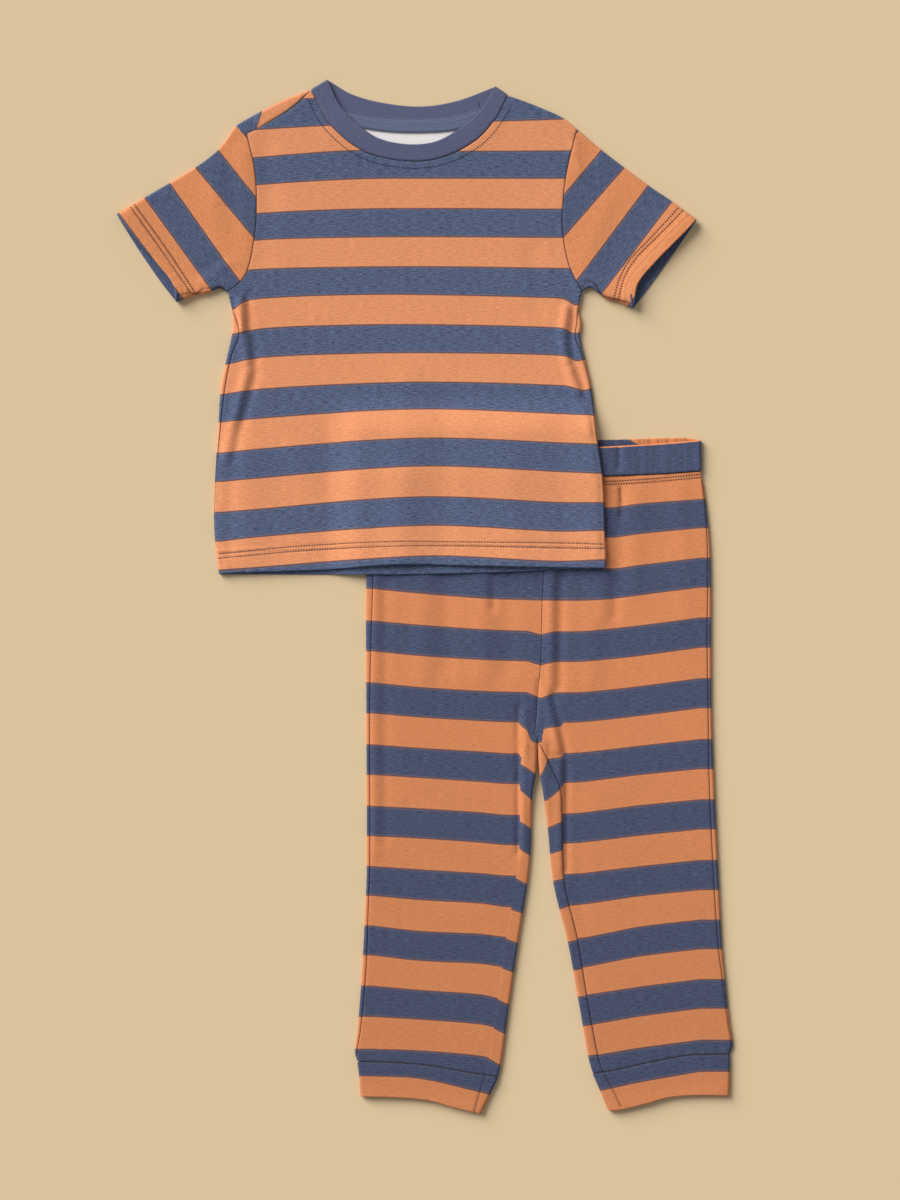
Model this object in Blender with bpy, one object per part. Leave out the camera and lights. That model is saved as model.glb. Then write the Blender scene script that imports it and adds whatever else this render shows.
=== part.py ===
"""A toddler's pyjama set laid out flat: a short-sleeved top over the waist of long trousers.

Every piece is a panel of cloth with a thin wall. The tables are in millimetres: those of the top
are measured from its centre line and up from its hem, those of the trousers from their centre
line and down from their waist. The folds of each garment are smooth lines in plan. A lay gives
the heights of its two layers, and rounds the cloth over from one layer to the other at a fold.
"""

import math
from collections import namedtuple

import bmesh
import bpy
import numpy as np

for old in list(bpy.data.objects):
    bpy.data.objects.remove(old)

MM = 0.001

# Where the two garments lie: the top's centre line at its hem, the trousers' at their waist.
TOP_AT = np.array([-10.8, 21.5])
TROUSERS_AT = np.array([92.4, 125.5])

# Cloth: the walls, and the gap between two pieces at a seam.
JERSEY_WALL = 1.2
RIB_WALL = 1.6
CASING_WALL = 2.0
TAPE_WALL = 1.0
SEAM_GAP = 0.3
NECK_GAP = 0.5

# Lay: half the height from the middle of the lower wall to the middle of the upper one.
TOP_LOFT = 1.4
TROUSERS_LOFT = 1.4
RIB_LOFT = 1.5
CASING_LOFT = 1.7
NECK_LIFT = 0.5

# The top climbs over the waist of the trousers.
DRAPE_RISE = 5.0
DRAPE_OVER_CASING = 1.2
DRAPE_LEFT = -48.0
DRAPE_FRONT = 130.0
DRAPE_RUN = 32.0
CASING_DEPTH = 30.0

# Steps round a fold, in quarter turns, 0 at the very edge and minus on the lower layer. A seam less
# than EVEN_UNTIL quarter turns up from the edge has its steps spread evenly instead.
FOLD_STEPS = (0.0, 0.5, 1.15)
WRAP_STEPS = (0.8, 0.0, -0.55, -1.15)
EVEN_UNTIL = 0.2
EVEN_FADE = 1.3

# A soft fold dies away within so many radii of the garment's edge.
CREASE_FADE = 4.0

# Fineness: samples along a line, and the parts that each stretch of a border has.
SAMPLES = 16
OUTLINE_STEP = 1.2
SIDE_PARTS = 13
ARMHOLE_PARTS = 8
SHOULDER_PARTS = 4
NECK_PARTS = 11
TAPE_PARTS = 14
SLEEVE_PARTS = 7
LEG_PARTS = 13
RISE_PARTS = 10
LEG_COLUMNS = 8
CASING_PARTS = 7
BAND_PARTS = 3

# At each corner of the neck a short stretch has a part of its own: its share of the line, and the
# width of that part beside the others.
NECK_CORNER = 0.016
CORNER_SHARE = 0.3

# The sides of the top: the plan edge, and how far the side seam lies in from it on the front.
Side = namedtuple("Side", "up left left_inset right right_inset")
TOP_SIDES = (
    Side(-3.5, -153.0, 0.0, 155.2, 0.0),
    Side(32.0, -156.8, 0.0, 154.4, 0.0),
    Side(72.0, -156.2, 0.0, 152.8, 0.0),
    Side(112.0, -153.6, 1.2, 147.2, 0.0),
    Side(144.0, -151.6, 2.8, 144.0, 0.4),
    Side(171.0, -146.4, 3.0, 137.8, 1.0),
    Side(186.0, -143.0, 5.4, 134.6, 3.2),
    Side(197.5, -141.6, 3.0, 135.6, 3.0),
    Side(208.0, -142.8, 0.0, 133.6, 0.0),
    Side(222.5, -146.0, 0.0, 136.4, 0.0),
)

# The lines of the top's cut, each a smooth curve through its points.
FRONT_HEM = ((-153.0, -3.5), (-144.0, -2.4), (-90.0, -0.6), (-65.0, 0.4), (-9.0, 4.4), (43.0, 3.4),
             (113.0, 2.0), (155.2, 1.5))
BACK_HEM = ((-153.0, -3.5), (-9.0, -3.5), (78.0, -1.6), (122.0, 0.6), (155.2, 1.5))
LEFT_ARMHOLE = ((-146.0, 222.5), (-137.0, 229.5), (-130.5, 240.0), (-125.5, 264.0), (-123.5, 290.0),
                (-125.0, 320.0), (-131.5, 349.0))
RIGHT_ARMHOLE = ((136.4, 223.0), (129.0, 237.0), (124.5, 250.0), (121.0, 275.0), (122.2, 302.0),
                 (125.0, 321.0), (132.5, 351.8))
LEFT_BACK_ARMHOLE = ((-146.0, 222.5), (-137.0, 229.5), (-131.0, 240.0), (-127.0, 264.0),
                     (-126.0, 290.0), (-129.5, 325.0), (-139.5, 355.0))
LEFT_SHOULDER_SEAM = ((-131.5, 349.0), (-122.0, 353.2), (-109.0, 360.6), (-93.0, 370.6),
                      (-80.0, 383.4))
LEFT_SHOULDER_FOLD = ((-139.5, 355.0), (-120.0, 366.0), (-102.0, 375.0), (-89.0, 380.2),
                      (-80.0, 383.4))
RIGHT_SHOULDER_FOLD = ((77.4, 379.0), (94.0, 373.1), (111.4, 366.0), (122.4, 360.5), (132.5, 351.8))
FRONT_NECKLINE = ((-80.0, 383.4), (-66.0, 357.5), (-40.0, 335.6), (-10.0, 327.3), (21.0, 328.5),
                  (50.5, 342.2), (68.0, 361.0), (77.4, 379.0))
BACK_NECKLINE = ((-80.0, 383.4), (-68.8, 373.6), (-48.8, 365.6), (-20.8, 360.4), (7.2, 359.2),
                 (35.2, 361.6), (59.2, 369.6), (77.4, 379.0))
FRONT_BAND_EDGE = ((-66.4, 391.5), (-55.2, 369.0), (-30.4, 347.2), (-5.8, 340.4), (19.0, 342.2),
                   (41.4, 354.5), (57.0, 369.0), (66.8, 386.2))
BACK_BAND_EDGE = ((-66.4, 391.5), (-47.0, 380.3), (-21.5, 373.4), (9.0, 370.7), (37.0, 375.2),
                  (66.8, 386.2))
TAPE_TOP = ((-66.0, 371.0), (-48.0, 364.4), (-20.8, 359.6), (7.2, 358.6), (35.0, 360.8),
            (59.0, 368.2))
TAPE_DEPTH = 9.2

LEFT_OVERARM = ((-139.5, 355.0), (-153.3, 336.0), (-172.6, 321.0), (-213.0, 297.0), (-235.0, 283.6))
LEFT_UNDERARM = ((-146.0, 222.5), (-153.0, 225.6), (-161.0, 222.8), (-175.4, 219.2),
                 (-188.0, 214.8))
LEFT_SLEEVE_FRONT_HEM = ((-235.0, 283.6), (-220.5, 265.5), (-203.0, 245.0), (-190.0, 228.0),
                         (-188.0, 214.8))
LEFT_SLEEVE_BACK_HEM = ((-235.0, 283.6), (-219.5, 258.6), (-201.0, 231.5), (-188.0, 214.8))
RIGHT_OVERARM = ((132.5, 351.8), (151.0, 336.0), (189.7, 306.7), (208.6, 294.0), (228.0, 279.0))
RIGHT_UNDERARM = ((136.4, 222.5), (143.5, 225.6), (149.6, 221.6), (156.0, 216.8), (165.2, 214.8),
                  (178.0, 209.5))
RIGHT_SLEEVE_FRONT_HEM = ((228.0, 279.0), (211.0, 262.0), (194.2, 244.8), (181.0, 228.0),
                          (178.0, 209.5))
RIGHT_SLEEVE_BACK_HEM = ((228.0, 279.0), (212.0, 256.0), (197.6, 236.0), (178.0, 209.5))

# The outer edges of the trousers, by the distance down from the waist.
Leg = namedtuple("Leg", "down edge inset")
LEFT_OUTER = (
    Leg(27.2, -125.0, 0.0), Leg(56.0, -131.2, 1.2), Leg(84.0, -136.0, 3.2),
    Leg(115.0, -138.4, 4.8), Leg(208.0, -138.4, 2.4), Leg(344.0, -138.0, 2.0),
    Leg(374.0, -139.2, 2.0), Leg(422.0, -141.6, 2.8), Leg(470.0, -145.2, 2.0),
    Leg(490.0, -147.4, 1.2), Leg(496.8, -145.4, 0.6),
)
RIGHT_OUTER = (
    Leg(25.0, 128.4, 0.0), Leg(57.6, 132.8, 0.8), Leg(96.0, 135.6, 1.6), Leg(160.0, 136.0, 2.4),
    Leg(216.0, 136.4, 2.0), Leg(272.0, 138.4, 3.2), Leg(358.0, 142.4, 3.2),
    Leg(406.0, 144.8, 2.2), Leg(430.0, 147.2, 1.6), Leg(464.0, 150.6, 0.8),
    Leg(484.0, 153.4, 0.8), Leg(491.0, 151.0, 0.4),
)
LEFT_INNER = (
    Leg(241.0, -2.1, 0.0), Leg(246.0, -2.9, 0.0), Leg(262.0, -3.3, 0.0), Leg(284.0, -6.8, 7.0),
    Leg(328.0, -8.2, 8.4), Leg(354.4, -10.8, 9.0), Leg(400.8, -18.0, 9.6), Leg(447.2, -24.8, 9.0),
    Leg(495.2, -31.2, 10.0), Leg(509.0, -34.0, 10.0),
)
RIGHT_INNER = (
    Leg(241.0, -2.1, 0.0), Leg(246.0, -1.3, 0.0), Leg(262.0, -0.7, 0.0), Leg(285.6, 3.4, 9.0),
    Leg(308.8, 6.4, 11.4), Leg(354.4, 11.2, 8.4), Leg(400.0, 22.4, 7.8), Leg(446.4, 30.9, 6.8),
    Leg(493.6, 39.2, 7.4), Leg(506.0, 42.4, 8.0),
)
CENTRE_SEAM = ((1.6, 29.8), (2.4, 106.0), (1.2, 130.0), (0.0, 180.0), (-2.8, 208.0), (-3.2, 228.0),
               (-2.1, 241.0))
CENTRE_BACK_SEAM = ((1.6, 29.8), (0.0, 120.0), (-1.0, 200.0), (-2.1, 241.0))
LEFT_WAIST_SEAM = ((-125.0, 27.2), (-60.0, 29.6), (1.6, 29.8))
RIGHT_WAIST_SEAM = ((1.6, 29.8), (50.0, 29.2), (100.0, 27.2), (128.4, 25.0))
FRONT_WAIST = ((-124.6, 0.4), (-60.0, 5.0), (0.0, 6.4), (48.0, 5.6), (100.0, 2.6), (128.0, 0.2))
BACK_WAIST = ((-124.6, 0.4), (-60.0, -0.4), (48.0, 0.0), (115.0, -1.6), (128.0, 0.2))

LEFT_CUFF_SEAM = ((-145.4, 496.8), (-120.4, 497.6), (-88.8, 500.0), (-57.0, 505.6), (-34.0, 509.0))
LEFT_CUFF_EDGE = ((-142.8, 524.8), (-112.5, 525.6), (-88.8, 528.0), (-69.8, 533.2), (-48.0, 538.6))
LEFT_CUFF_OUTER = ((-145.4, 496.8), (-144.0, 508.0), (-142.8, 524.8))
LEFT_CUFF_INNER = ((-34.0, 509.0), (-41.2, 524.0), (-48.0, 538.6))
RIGHT_CUFF_SEAM = ((42.4, 506.0), (54.0, 504.8), (66.4, 502.2), (95.0, 496.0), (118.4, 492.0),
                   (151.0, 491.0))
RIGHT_CUFF_EDGE = ((55.0, 535.8), (62.0, 535.6), (82.4, 531.0), (102.8, 525.4), (126.4, 523.6),
                   (150.4, 524.0))
RIGHT_CUFF_INNER = ((42.4, 506.0), (48.6, 520.0), (55.0, 535.8))
RIGHT_CUFF_OUTER = ((151.0, 491.0), (150.8, 508.0), (150.4, 524.0))

# Soft folds of the upper layer: a line in plan, its half width and its height, a trough below 0.
Crease = namedtuple("Crease", "x0 y0 x1 y1 reach height")
TOP_CREASES = (
    Crease(-116.0, 340.0, -113.5, 306.0, 9.0, -0.8),
    Crease(-113.0, 292.0, -118.0, 250.0, 9.0, -0.8),
    Crease(-134.0, 330.0, -132.0, 306.0, 8.0, 0.8),
    Crease(-131.0, 292.0, -135.0, 248.0, 8.0, 0.8),
    Crease(-129.0, 212.0, -133.0, 190.0, 6.0, -0.9),
    Crease(-135.0, 180.0, -146.0, 136.0, 6.0, -1.0),
    Crease(127.0, 192.0, 143.0, 138.0, 6.0, -1.0),
    Crease(-120.0, 226.0, -114.0, 178.0, 9.0, 0.7),
    Crease(98.0, 254.0, 101.0, 210.0, 9.0, -0.6),
    Crease(114.0, 226.0, 110.0, 180.0, 9.0, 0.6),
    Crease(-135.0, 92.0, -138.0, 22.0, 20.0, 1.5),
    Crease(-66.0, 90.0, -68.0, 12.0, 16.0, -0.9),
    Crease(-97.0, 92.0, -72.0, 50.0, 9.0, 0.5),
    Crease(-5.0, 150.0, -6.0, 100.0, 14.0, 0.8),
    Crease(-6.0, 74.0, -8.0, 10.0, 14.0, 1.9),
    Crease(27.0, 130.0, 26.0, 10.0, 12.0, -1.0),
    Crease(80.0, 104.0, 82.0, 10.0, 15.0, 1.0),
    Crease(120.0, 110.0, 124.0, 10.0, 12.0, -0.9),
    Crease(149.0, 112.0, 151.0, 12.0, 9.0, 0.8),
    Crease(-150.0, 250.0, -160.0, 300.0, 9.0, 0.6),
    Crease(140.0, 248.0, 156.0, 292.0, 9.0, 0.6),
)
TROUSER_CREASES = (
    Crease(-93.0, 34.0, -93.0, 188.0, 9.0, 0.9),
    Crease(-75.0, 34.0, -75.0, 182.0, 8.0, -0.8),
    Crease(-45.0, 34.0, -46.0, 188.0, 9.0, 0.9),
    Crease(-27.0, 34.0, -26.0, 182.0, 8.0, -0.8),
    Crease(-131.0, 100.0, -131.5, 330.0, 5.0, 0.7),
    Crease(-124.0, 100.0, -124.5, 320.0, 5.0, -0.6),
    Crease(13.6, 112.0, 13.6, 212.0, 7.0, -0.8),
    Crease(42.0, 100.0, 42.0, 192.0, 8.0, 0.7),
    Crease(48.0, 36.0, 49.0, 84.0, 7.0, 0.6),
    Crease(62.0, 36.0, 62.0, 96.0, 6.0, -0.8),
    Crease(78.0, 36.0, 76.0, 120.0, 8.0, 0.7),
    Crease(112.0, 34.0, 116.0, 140.0, 8.0, 0.6),
    Crease(-10.0, 228.0, -10.0, 262.0, 5.0, 0.8),
    Crease(-13.0, 280.0, -13.0, 350.0, 6.0, 0.6),
    Crease(12.0, 214.0, 12.0, 246.0, 5.0, 0.7),
    Crease(28.0, 284.0, 34.0, 440.0, 9.0, -0.6),
)
# Where a mouth stands open: a line in plan along its edge, how far in it reaches, and the rise.
TOP_MOUTHS = (
    Crease(-228.0, 276.0, -196.0, 228.0, 17.0, 1.5),
    Crease(220.0, 270.0, 185.0, 224.0, 19.0, 2.0),
    Crease(-150.0, 2.0, 150.0, 4.0, 16.0, 0.5),
    Crease(-56.0, 352.0, 50.0, 350.0, 18.0, NECK_LIFT),
)
CUFF_MOUTHS = (
    Crease(-134.0, 527.0, -54.0, 536.0, 9.0, 0.5),
    Crease(60.0, 536.0, 142.0, 524.0, 9.0, 0.5),
)

# Finishes: colour, roughness
ORANGE_JERSEY = ("orange jersey", (0.660, 0.243, 0.099), 0.85)
SLATE_JERSEY = ("slate jersey", (0.073, 0.088, 0.150), 0.85)
NECK_RIB = ("neck rib", (0.080, 0.084, 0.162), 0.85)
NECK_TAPE = ("neck tape", (0.085, 0.092, 0.160), 0.8)


class Curve:
    """A smooth line through a few plan points, measured along its length."""

    def __init__(self, points):
        knots = np.array(points, float)
        ghosts = np.vstack([2 * knots[0] - knots[1], knots, 2 * knots[-1] - knots[-2]])
        steps = np.linspace(0.0, 1.0, SAMPLES, endpoint=False)[:, None]
        line = [self.span(ghosts[k:k + 4], steps) for k in range(len(knots) - 1)]
        self.measure(np.vstack(line + [knots[-1:]]))

    @staticmethod
    def span(four, steps):
        """The stretch between the middle two of four points, with slopes from their neighbours."""
        before, start, end, after = four
        chord = np.linalg.norm(end - start)
        leave = (end - before) / (np.linalg.norm(start - before) + chord) * chord
        arrive = (after - start) / (np.linalg.norm(after - end) + chord) * chord
        cubic = 2 * start - 2 * end + leave + arrive
        square = 3 * end - 3 * start - 2 * leave - arrive
        return start + steps * (leave + steps * (square + steps * cubic))

    def reversed(self):
        """The same line from its end to its start."""
        return self.part(1.0, 0.0)

    def part(self, first, last):
        """The stretch of the line between two fractions of its length."""
        count = max(2, int(abs(last - first) * len(self.line)))
        stretch = Curve.__new__(Curve)
        stretch.measure([self.at(first + (last - first) * k / count) for k in range(count + 1)])
        return stretch

    def facets(self, parts):
        """The line as straight stretches of one length, which the pieces on both its sides share."""
        cut = Curve.__new__(Curve)
        cut.measure([self.at(k / parts) for k in range(parts + 1)])
        return cut

    def measure(self, points):
        """Keep the line's points and how far along it each lies."""
        self.line = np.array(points)
        runs = np.linalg.norm(np.diff(self.line, axis=0), axis=1)
        self.along = np.concatenate([[0.0], np.cumsum(runs)])
        self.length = self.along[-1]

    def at(self, fraction):
        """The plan point at a fraction of the length."""
        run = fraction * self.length
        return np.array([np.interp(run, self.along, self.line[:, k]) for k in (0, 1)])


class Border:
    """One edge of a panel, in stretches of so many parts: the plan edge, and its seam at a fold."""

    def __init__(self, parts, *stretches, shares=None):
        self.parts = parts
        self.stretches = [pair if isinstance(pair, tuple) else (pair, None) for pair in stretches]
        self.stops = np.concatenate([[0.0], np.cumsum(shares or parts)]) / sum(shares or parts)

    def stations(self):
        """Fractions between the ends of the border, where its parts meet."""
        fractions = []
        for first, last, count in zip(self.stops[:-1], self.stops[1:], self.parts):
            fractions += [first + (last - first) * k / count for k in range(count)]
        return fractions[1:]

    def place(self, fraction):
        """The plan edge at a fraction of the border, and the seam beside it or None."""
        index = int(np.searchsorted(self.stops[1:-1], fraction - 1e-9))
        first, last = self.stops[index], self.stops[index + 1]
        edge, seam = self.stretches[index]
        part = (fraction - first) / (last - first)
        return edge.at(part), None if seam is None else seam.at(part)


def arc_over(depth, radius):
    """How far round a fold a point is whose plan distance from the edge is the depth."""
    if depth >= radius:
        return depth + (math.pi / 2 - 1) * radius
    return radius * math.acos(1 - max(depth, 0.0) / radius)


def depth_of(arc, radius):
    """The plan distance from the edge of a point so far round the fold."""
    quarter = radius * math.pi / 2
    if abs(arc) >= quarter:
        return abs(arc) - quarter + radius
    return radius * (1 - math.cos(arc / radius))


def smooth(value):
    """A ramp from 0 to 1 with level ends."""
    value = np.clip(value, 0.0, 1.0)
    return value * value * (3 - 2 * value)


def ridges(rows, plan):
    """The height that a table of soft folds adds at each plan point."""
    height = np.zeros(len(plan))
    for row in rows:
        start = np.array([row.x0, row.y0])
        run = np.array([row.x1, row.y1]) - start
        part = np.clip((plan - start) @ run / (run @ run), 0.0, 1.0)
        away = np.linalg.norm(plan - start - part[:, None] * run, axis=1)
        height += row.height * np.exp(-(away / row.reach) ** 2)
    return height


class Outline:
    """The folds that bound a laid garment: chains of curves with the cloth to the left of each."""

    def __init__(self, chains):
        starts, ends, start_normals, end_normals = [], [], [], []
        for chain in chains:
            points = self.walk(chain)
            runs = np.diff(points, axis=0)
            runs /= np.linalg.norm(runs, axis=1)[:, None]
            turns = np.vstack([runs[:1], runs[:-1] + runs[1:], runs[-1:]])
            normals = np.stack([-turns[:, 1], turns[:, 0]], axis=1)
            normals /= np.linalg.norm(normals, axis=1)[:, None]
            starts.append(points[:-1])
            ends.append(points[1:])
            start_normals.append(normals[:-1])
            end_normals.append(normals[1:])
        self.starts, self.ends = np.vstack(starts), np.vstack(ends)
        self.start_normals, self.end_normals = np.vstack(start_normals), np.vstack(end_normals)

    @staticmethod
    def walk(chain):
        """The points along a chain of curves that follow each other."""
        points = []
        for line in chain:
            count = max(3, int(line.length / OUTLINE_STEP))
            points += [line.at(k / count) for k in range(count)]
        return np.array(points + [chain[-1].at(1.0)])

    def near(self, plan):
        """Each point's distance in from the nearest fold, and the direction inwards there."""
        runs = self.ends - self.starts
        offsets = plan[:, None, :] - self.starts[None]
        parts = np.clip((offsets * runs).sum(2) / (runs * runs).sum(1), 0.0, 1.0)
        offsets = offsets - parts[..., None] * runs
        nearest = np.linalg.norm(offsets, axis=2).argmin(axis=1)
        pick = np.arange(len(plan))
        offset, part = offsets[pick, nearest], parts[pick, nearest][:, None]
        inward = (1 - part) * self.start_normals[nearest] + part * self.end_normals[nearest]
        inward /= np.linalg.norm(inward, axis=1)[:, None]
        distance = np.linalg.norm(offset, axis=1) * np.where((offset * inward).sum(1) < 0, -1.0, 1.0)
        return distance, inward


class Lay:
    """How the two layers of a laid garment lie: what they rest on, their loft and their soft folds."""

    def __init__(self, outline, base, loft, creases, mouths):
        self.outline, self.base, self.loft = outline, base, loft
        self.creases, self.mouths = creases, mouths

    def radius(self, plan):
        """Half the height between the layers' middles, which is also the radius of a fold."""
        return self.loft + ridges(self.mouths, plan)

    def level(self, plan, over, wall):
        """The height of the middle of a layer away from the folds."""
        lower = self.base(plan) + wall / 2
        upper = lower + 2 * self.radius(plan) + ridges(self.creases, plan)
        return np.where(over, upper, lower)

    def slopes(self, plan, over, wall):
        """How the height of a layer grows along x and along y."""
        step = 0.5
        grows = []
        for shift in ((step, 0.0), (0.0, step)):
            ahead = self.level(plan + shift, over, wall)
            behind = self.level(plan - shift, over, wall)
            grows.append((ahead - behind) / (2 * step))
        return np.stack(grows, axis=1)

    def raise_up(self, plan, arcs, sides, wall):
        """The cloth's middle points and outward directions, from plan points and arcs round the fold."""
        depth, inward = self.outline.near(plan)
        radius = self.radius(plan)
        own = np.array([side * arc_over(d, r) for side, d, r in zip(sides, depth, radius)])
        arcs = np.where(np.isnan(arcs), own, arcs)
        over = arcs > 0
        turn = np.clip(arcs / radius, -math.pi / 2, math.pi / 2)
        lower = self.base(plan) + wall / 2
        creased = ridges(self.creases, plan) * smooth((depth - radius) / (CREASE_FADE * radius)) * over
        height = lower + radius * (1 + np.sin(turn)) + creased
        out = np.column_stack([-np.cos(turn)[:, None] * inward, np.sin(turn)])
        out[:, :2] -= self.slopes(plan, over, wall) * np.sin(turn)[:, None]
        return np.column_stack([plan, height]), out / np.linalg.norm(out, axis=1)[:, None]


def fold_strip(inset, radius, gap):
    """Arcs from a seam inwards over the panel that the seam's own side carries."""
    quarter = radius * math.pi / 2
    start = arc_over(inset, radius) + gap / 2
    return [start + step * quarter for step in FOLD_STEPS]


def wrap_strip(inset, radius, gap):
    """Arcs from a seam back round the fold to the lower layer."""
    quarter = radius * math.pi / 2
    start = arc_over(inset, radius) - gap / 2
    finish = WRAP_STEPS[-1] * quarter
    count = len(WRAP_STEPS)
    even = [start + (finish - start) * k / count for k in range(count + 1)]
    placed = [start] + [step * quarter for step in WRAP_STEPS]
    share = float(smooth((start / quarter - EVEN_UNTIL) / EVEN_FADE))
    return [(1 - share) * a + share * b for a, b in zip(even, placed)]


BORDER_NAMES = ("bottom", "top", "left", "right")


class Strip:
    """The close rows beside one border of a panel: how far in each is, and how far round the fold."""

    def __init__(self, lay, border, side, gap, wraps, folds):
        self.lay, self.border, self.side, self.gap = lay, border, side, gap
        self.wraps, self.folds = wraps, folds
        self.count = 1 if not folds else len(WRAP_STEPS) + 1 if wraps else len(FOLD_STEPS)

    def edge(self, fraction):
        """Where the panel's plan ends: at the seam, or at the fold if the panel wraps round it."""
        edge, seam = self.border.place(fraction)
        return edge if seam is None or self.wraps else seam

    def rows(self, fraction):
        """For each row: its distance in from edge(), its arc or nan, and its plan point or None."""
        edge, seam = self.border.place(fraction)
        if not self.folds:
            return [(self.gap / 2, math.nan, None)]
        radius = float(self.lay.radius(edge[None])[0])
        if seam is None:
            reach = FOLD_STEPS[-1] * radius * math.pi / 2
            last = self.count - 1
            return [(self.gap / 2 + reach * k / last, math.nan, None) for k in range(self.count)]
        inset = float(np.linalg.norm(seam - edge))
        if not self.wraps:
            arcs = fold_strip(inset, radius, self.gap)
            return [(depth_of(arc, radius) - inset, self.side * arc, None) for arc in arcs]
        rows = []
        for arc in wrap_strip(inset, radius, self.gap):
            depth = depth_of(arc, radius)
            on_top = edge + (seam - edge) * depth / inset if arc > 0 and inset > 0 else None
            rows.append((depth, arc, on_top))
        return rows


def panel(lay, side, borders, wall, gaps, wraps=False, fold_top=False):
    """The middle points and outward directions of a panel between its bottom, top, left and right."""
    columns, rows = borders[1].stations(), borders[2].stations()
    folds = (False, fold_top, True, True)
    strips = {key: Strip(lay, border, side, gap, wraps, fold)
              for key, border, gap, fold in zip(BORDER_NAMES, borders, gaps, folds)}
    corners = {(u, v): (strips["left"] if u == 0 else strips["right"]).edge(v)
               for u in (0, 1) for v in (0, 1)}

    def plan_point(u, v):
        low, high = strips["bottom"].edge(u), strips["top"].edge(u)
        west, east = strips["left"].edge(v), strips["right"].edge(v)
        mixed = ((1 - u) * (1 - v) * corners[0, 0] + u * (1 - v) * corners[1, 0]
                 + (1 - u) * v * corners[0, 1] + u * v * corners[1, 1])
        return (1 - v) * low + v * high + (1 - u) * west + u * east - mixed

    def across(v):
        """The columns of one row: fraction across, arc, and plan point if it is set."""
        width = np.linalg.norm(strips["right"].edge(v) - strips["left"].edge(v))
        west = [(e / width, arc, spot) for e, arc, spot in strips["left"].rows(v)]
        east = [(1 - e / width, arc, spot) for e, arc, spot in strips["right"].rows(v)]
        return west + [(u, math.nan, None) for u in columns] + east[::-1]

    plan, arcs = [], []
    for key, v in [("bottom", 0.0)] + [("", v) for v in rows] + [("top", 1.0)]:
        cells = across(v)
        if not key:
            points = [spot if spot is not None else plan_point(u, v) for u, _, spot in cells]
            plan.append(points)
            arcs.append([arc for _, arc, _ in cells])
            continue
        stack = []
        for u, arc_across, spot_across in cells:
            height = np.linalg.norm(strips["top"].edge(u) - strips["bottom"].edge(u))
            column = []
            for e, arc, spot in strips[key].rows(u):
                part = e / height if key == "bottom" else 1 - e / height
                if spot_across is not None and arc != arc:
                    spot = spot_across + (plan_point(u, part) - plan_point(u, v))
                column.append((spot if spot is not None else plan_point(u, part),
                               arc_across if arc != arc else arc))
            stack.append(column)
        order = range(strips[key].count)
        for k in order if key == "bottom" else reversed(order):
            plan.append([column[k][0] for column in stack])
            arcs.append([column[k][1] for column in stack])
    shape = (len(plan), len(plan[0]))
    plan, arcs = np.array(plan).reshape(-1, 2), np.array(arcs).ravel()
    points, outs = lay.raise_up(plan, arcs, np.full(len(plan), side), wall)
    return points.reshape(*shape, 3), outs.reshape(*shape, 3)


def ring(lay, front, back, wall, gap=SEAM_GAP):
    """A flattened tube with a seam at the bottom: two halves that meet in the folds at its sides."""
    halves = []
    for side, borders in ((1, front), (-1, back)):
        halves.append(panel(lay, side, borders, wall, (gap, 0.0, 0.0, 0.0)))
    joined = []
    for upper, lower in zip(*halves):
        joined.append(np.concatenate([upper, lower[:, -2:0:-1]], axis=1))
    return joined


def solid(name, middle, outs, wall, finish, closed=False, shift=0.0):
    """A named object: the wall round a grid of middle points, closed at its rims."""
    rows, columns = middle.shape[:2]
    outer = middle + outs * (shift + wall / 2)
    inner = middle + outs * (shift - wall / 2)
    mesh = bmesh.new()
    skins = [[[mesh.verts.new(point * MM) for point in row] for row in grid]
             for grid in (outer, inner)]
    around = columns if closed else columns - 1
    for i in range(rows - 1):
        for j in range(around):
            k = (j + 1) % columns
            mesh.faces.new([skins[0][i][j], skins[0][i][k], skins[0][i + 1][k], skins[0][i + 1][j]])
            mesh.faces.new([skins[1][i][j], skins[1][i + 1][j], skins[1][i + 1][k], skins[1][i][k]])
    for j in range(around):
        k = (j + 1) % columns
        for i in (0, rows - 1):
            mesh.faces.new([skins[0][i][j], skins[1][i][j], skins[1][i][k], skins[0][i][k]])
    if not closed:
        for i in range(rows - 1):
            for j in (0, columns - 1):
                mesh.faces.new([skins[0][i][j], skins[0][i + 1][j], skins[1][i + 1][j], skins[1][i][j]])
    bmesh.ops.recalc_face_normals(mesh, faces=mesh.faces)
    data = bpy.data.meshes.new(name)
    mesh.to_mesh(data)
    mesh.free()
    data.shade_smooth()
    data.materials.append(material(finish))
    placed = bpy.data.objects.new(name, data)
    bpy.context.collection.objects.link(placed)
    return placed


def material(finish):
    """The Principled material of a finish, made once."""
    name, colour, roughness = finish
    if name in bpy.data.materials:
        return bpy.data.materials[name]
    made = bpy.data.materials.new(name)
    made.use_nodes = True
    shader = made.node_tree.nodes["Principled BSDF"]
    shader.inputs["Base Color"].default_value = (*colour, 1.0)
    shader.inputs["Roughness"].default_value = roughness
    shader.inputs["Metallic"].default_value = 0.0
    return made


def top_line(points):
    """A curve of the top, set where the top lies."""
    return Curve(np.array(points) + TOP_AT)


def trouser_line(points):
    """A curve of the trousers, set where they lie; its points are measured down from the waist."""
    return Curve(np.array(points) * (1.0, -1.0) + TROUSERS_AT)


def placed_rows(rows, at, downwards=1.0):
    """A table of soft folds or mouths, set where the garment lies."""
    return [row._replace(x0=row.x0 + at[0], y0=row.y0 * downwards + at[1],
                         x1=row.x1 + at[0], y1=row.y1 * downwards + at[1]) for row in rows]


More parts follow.
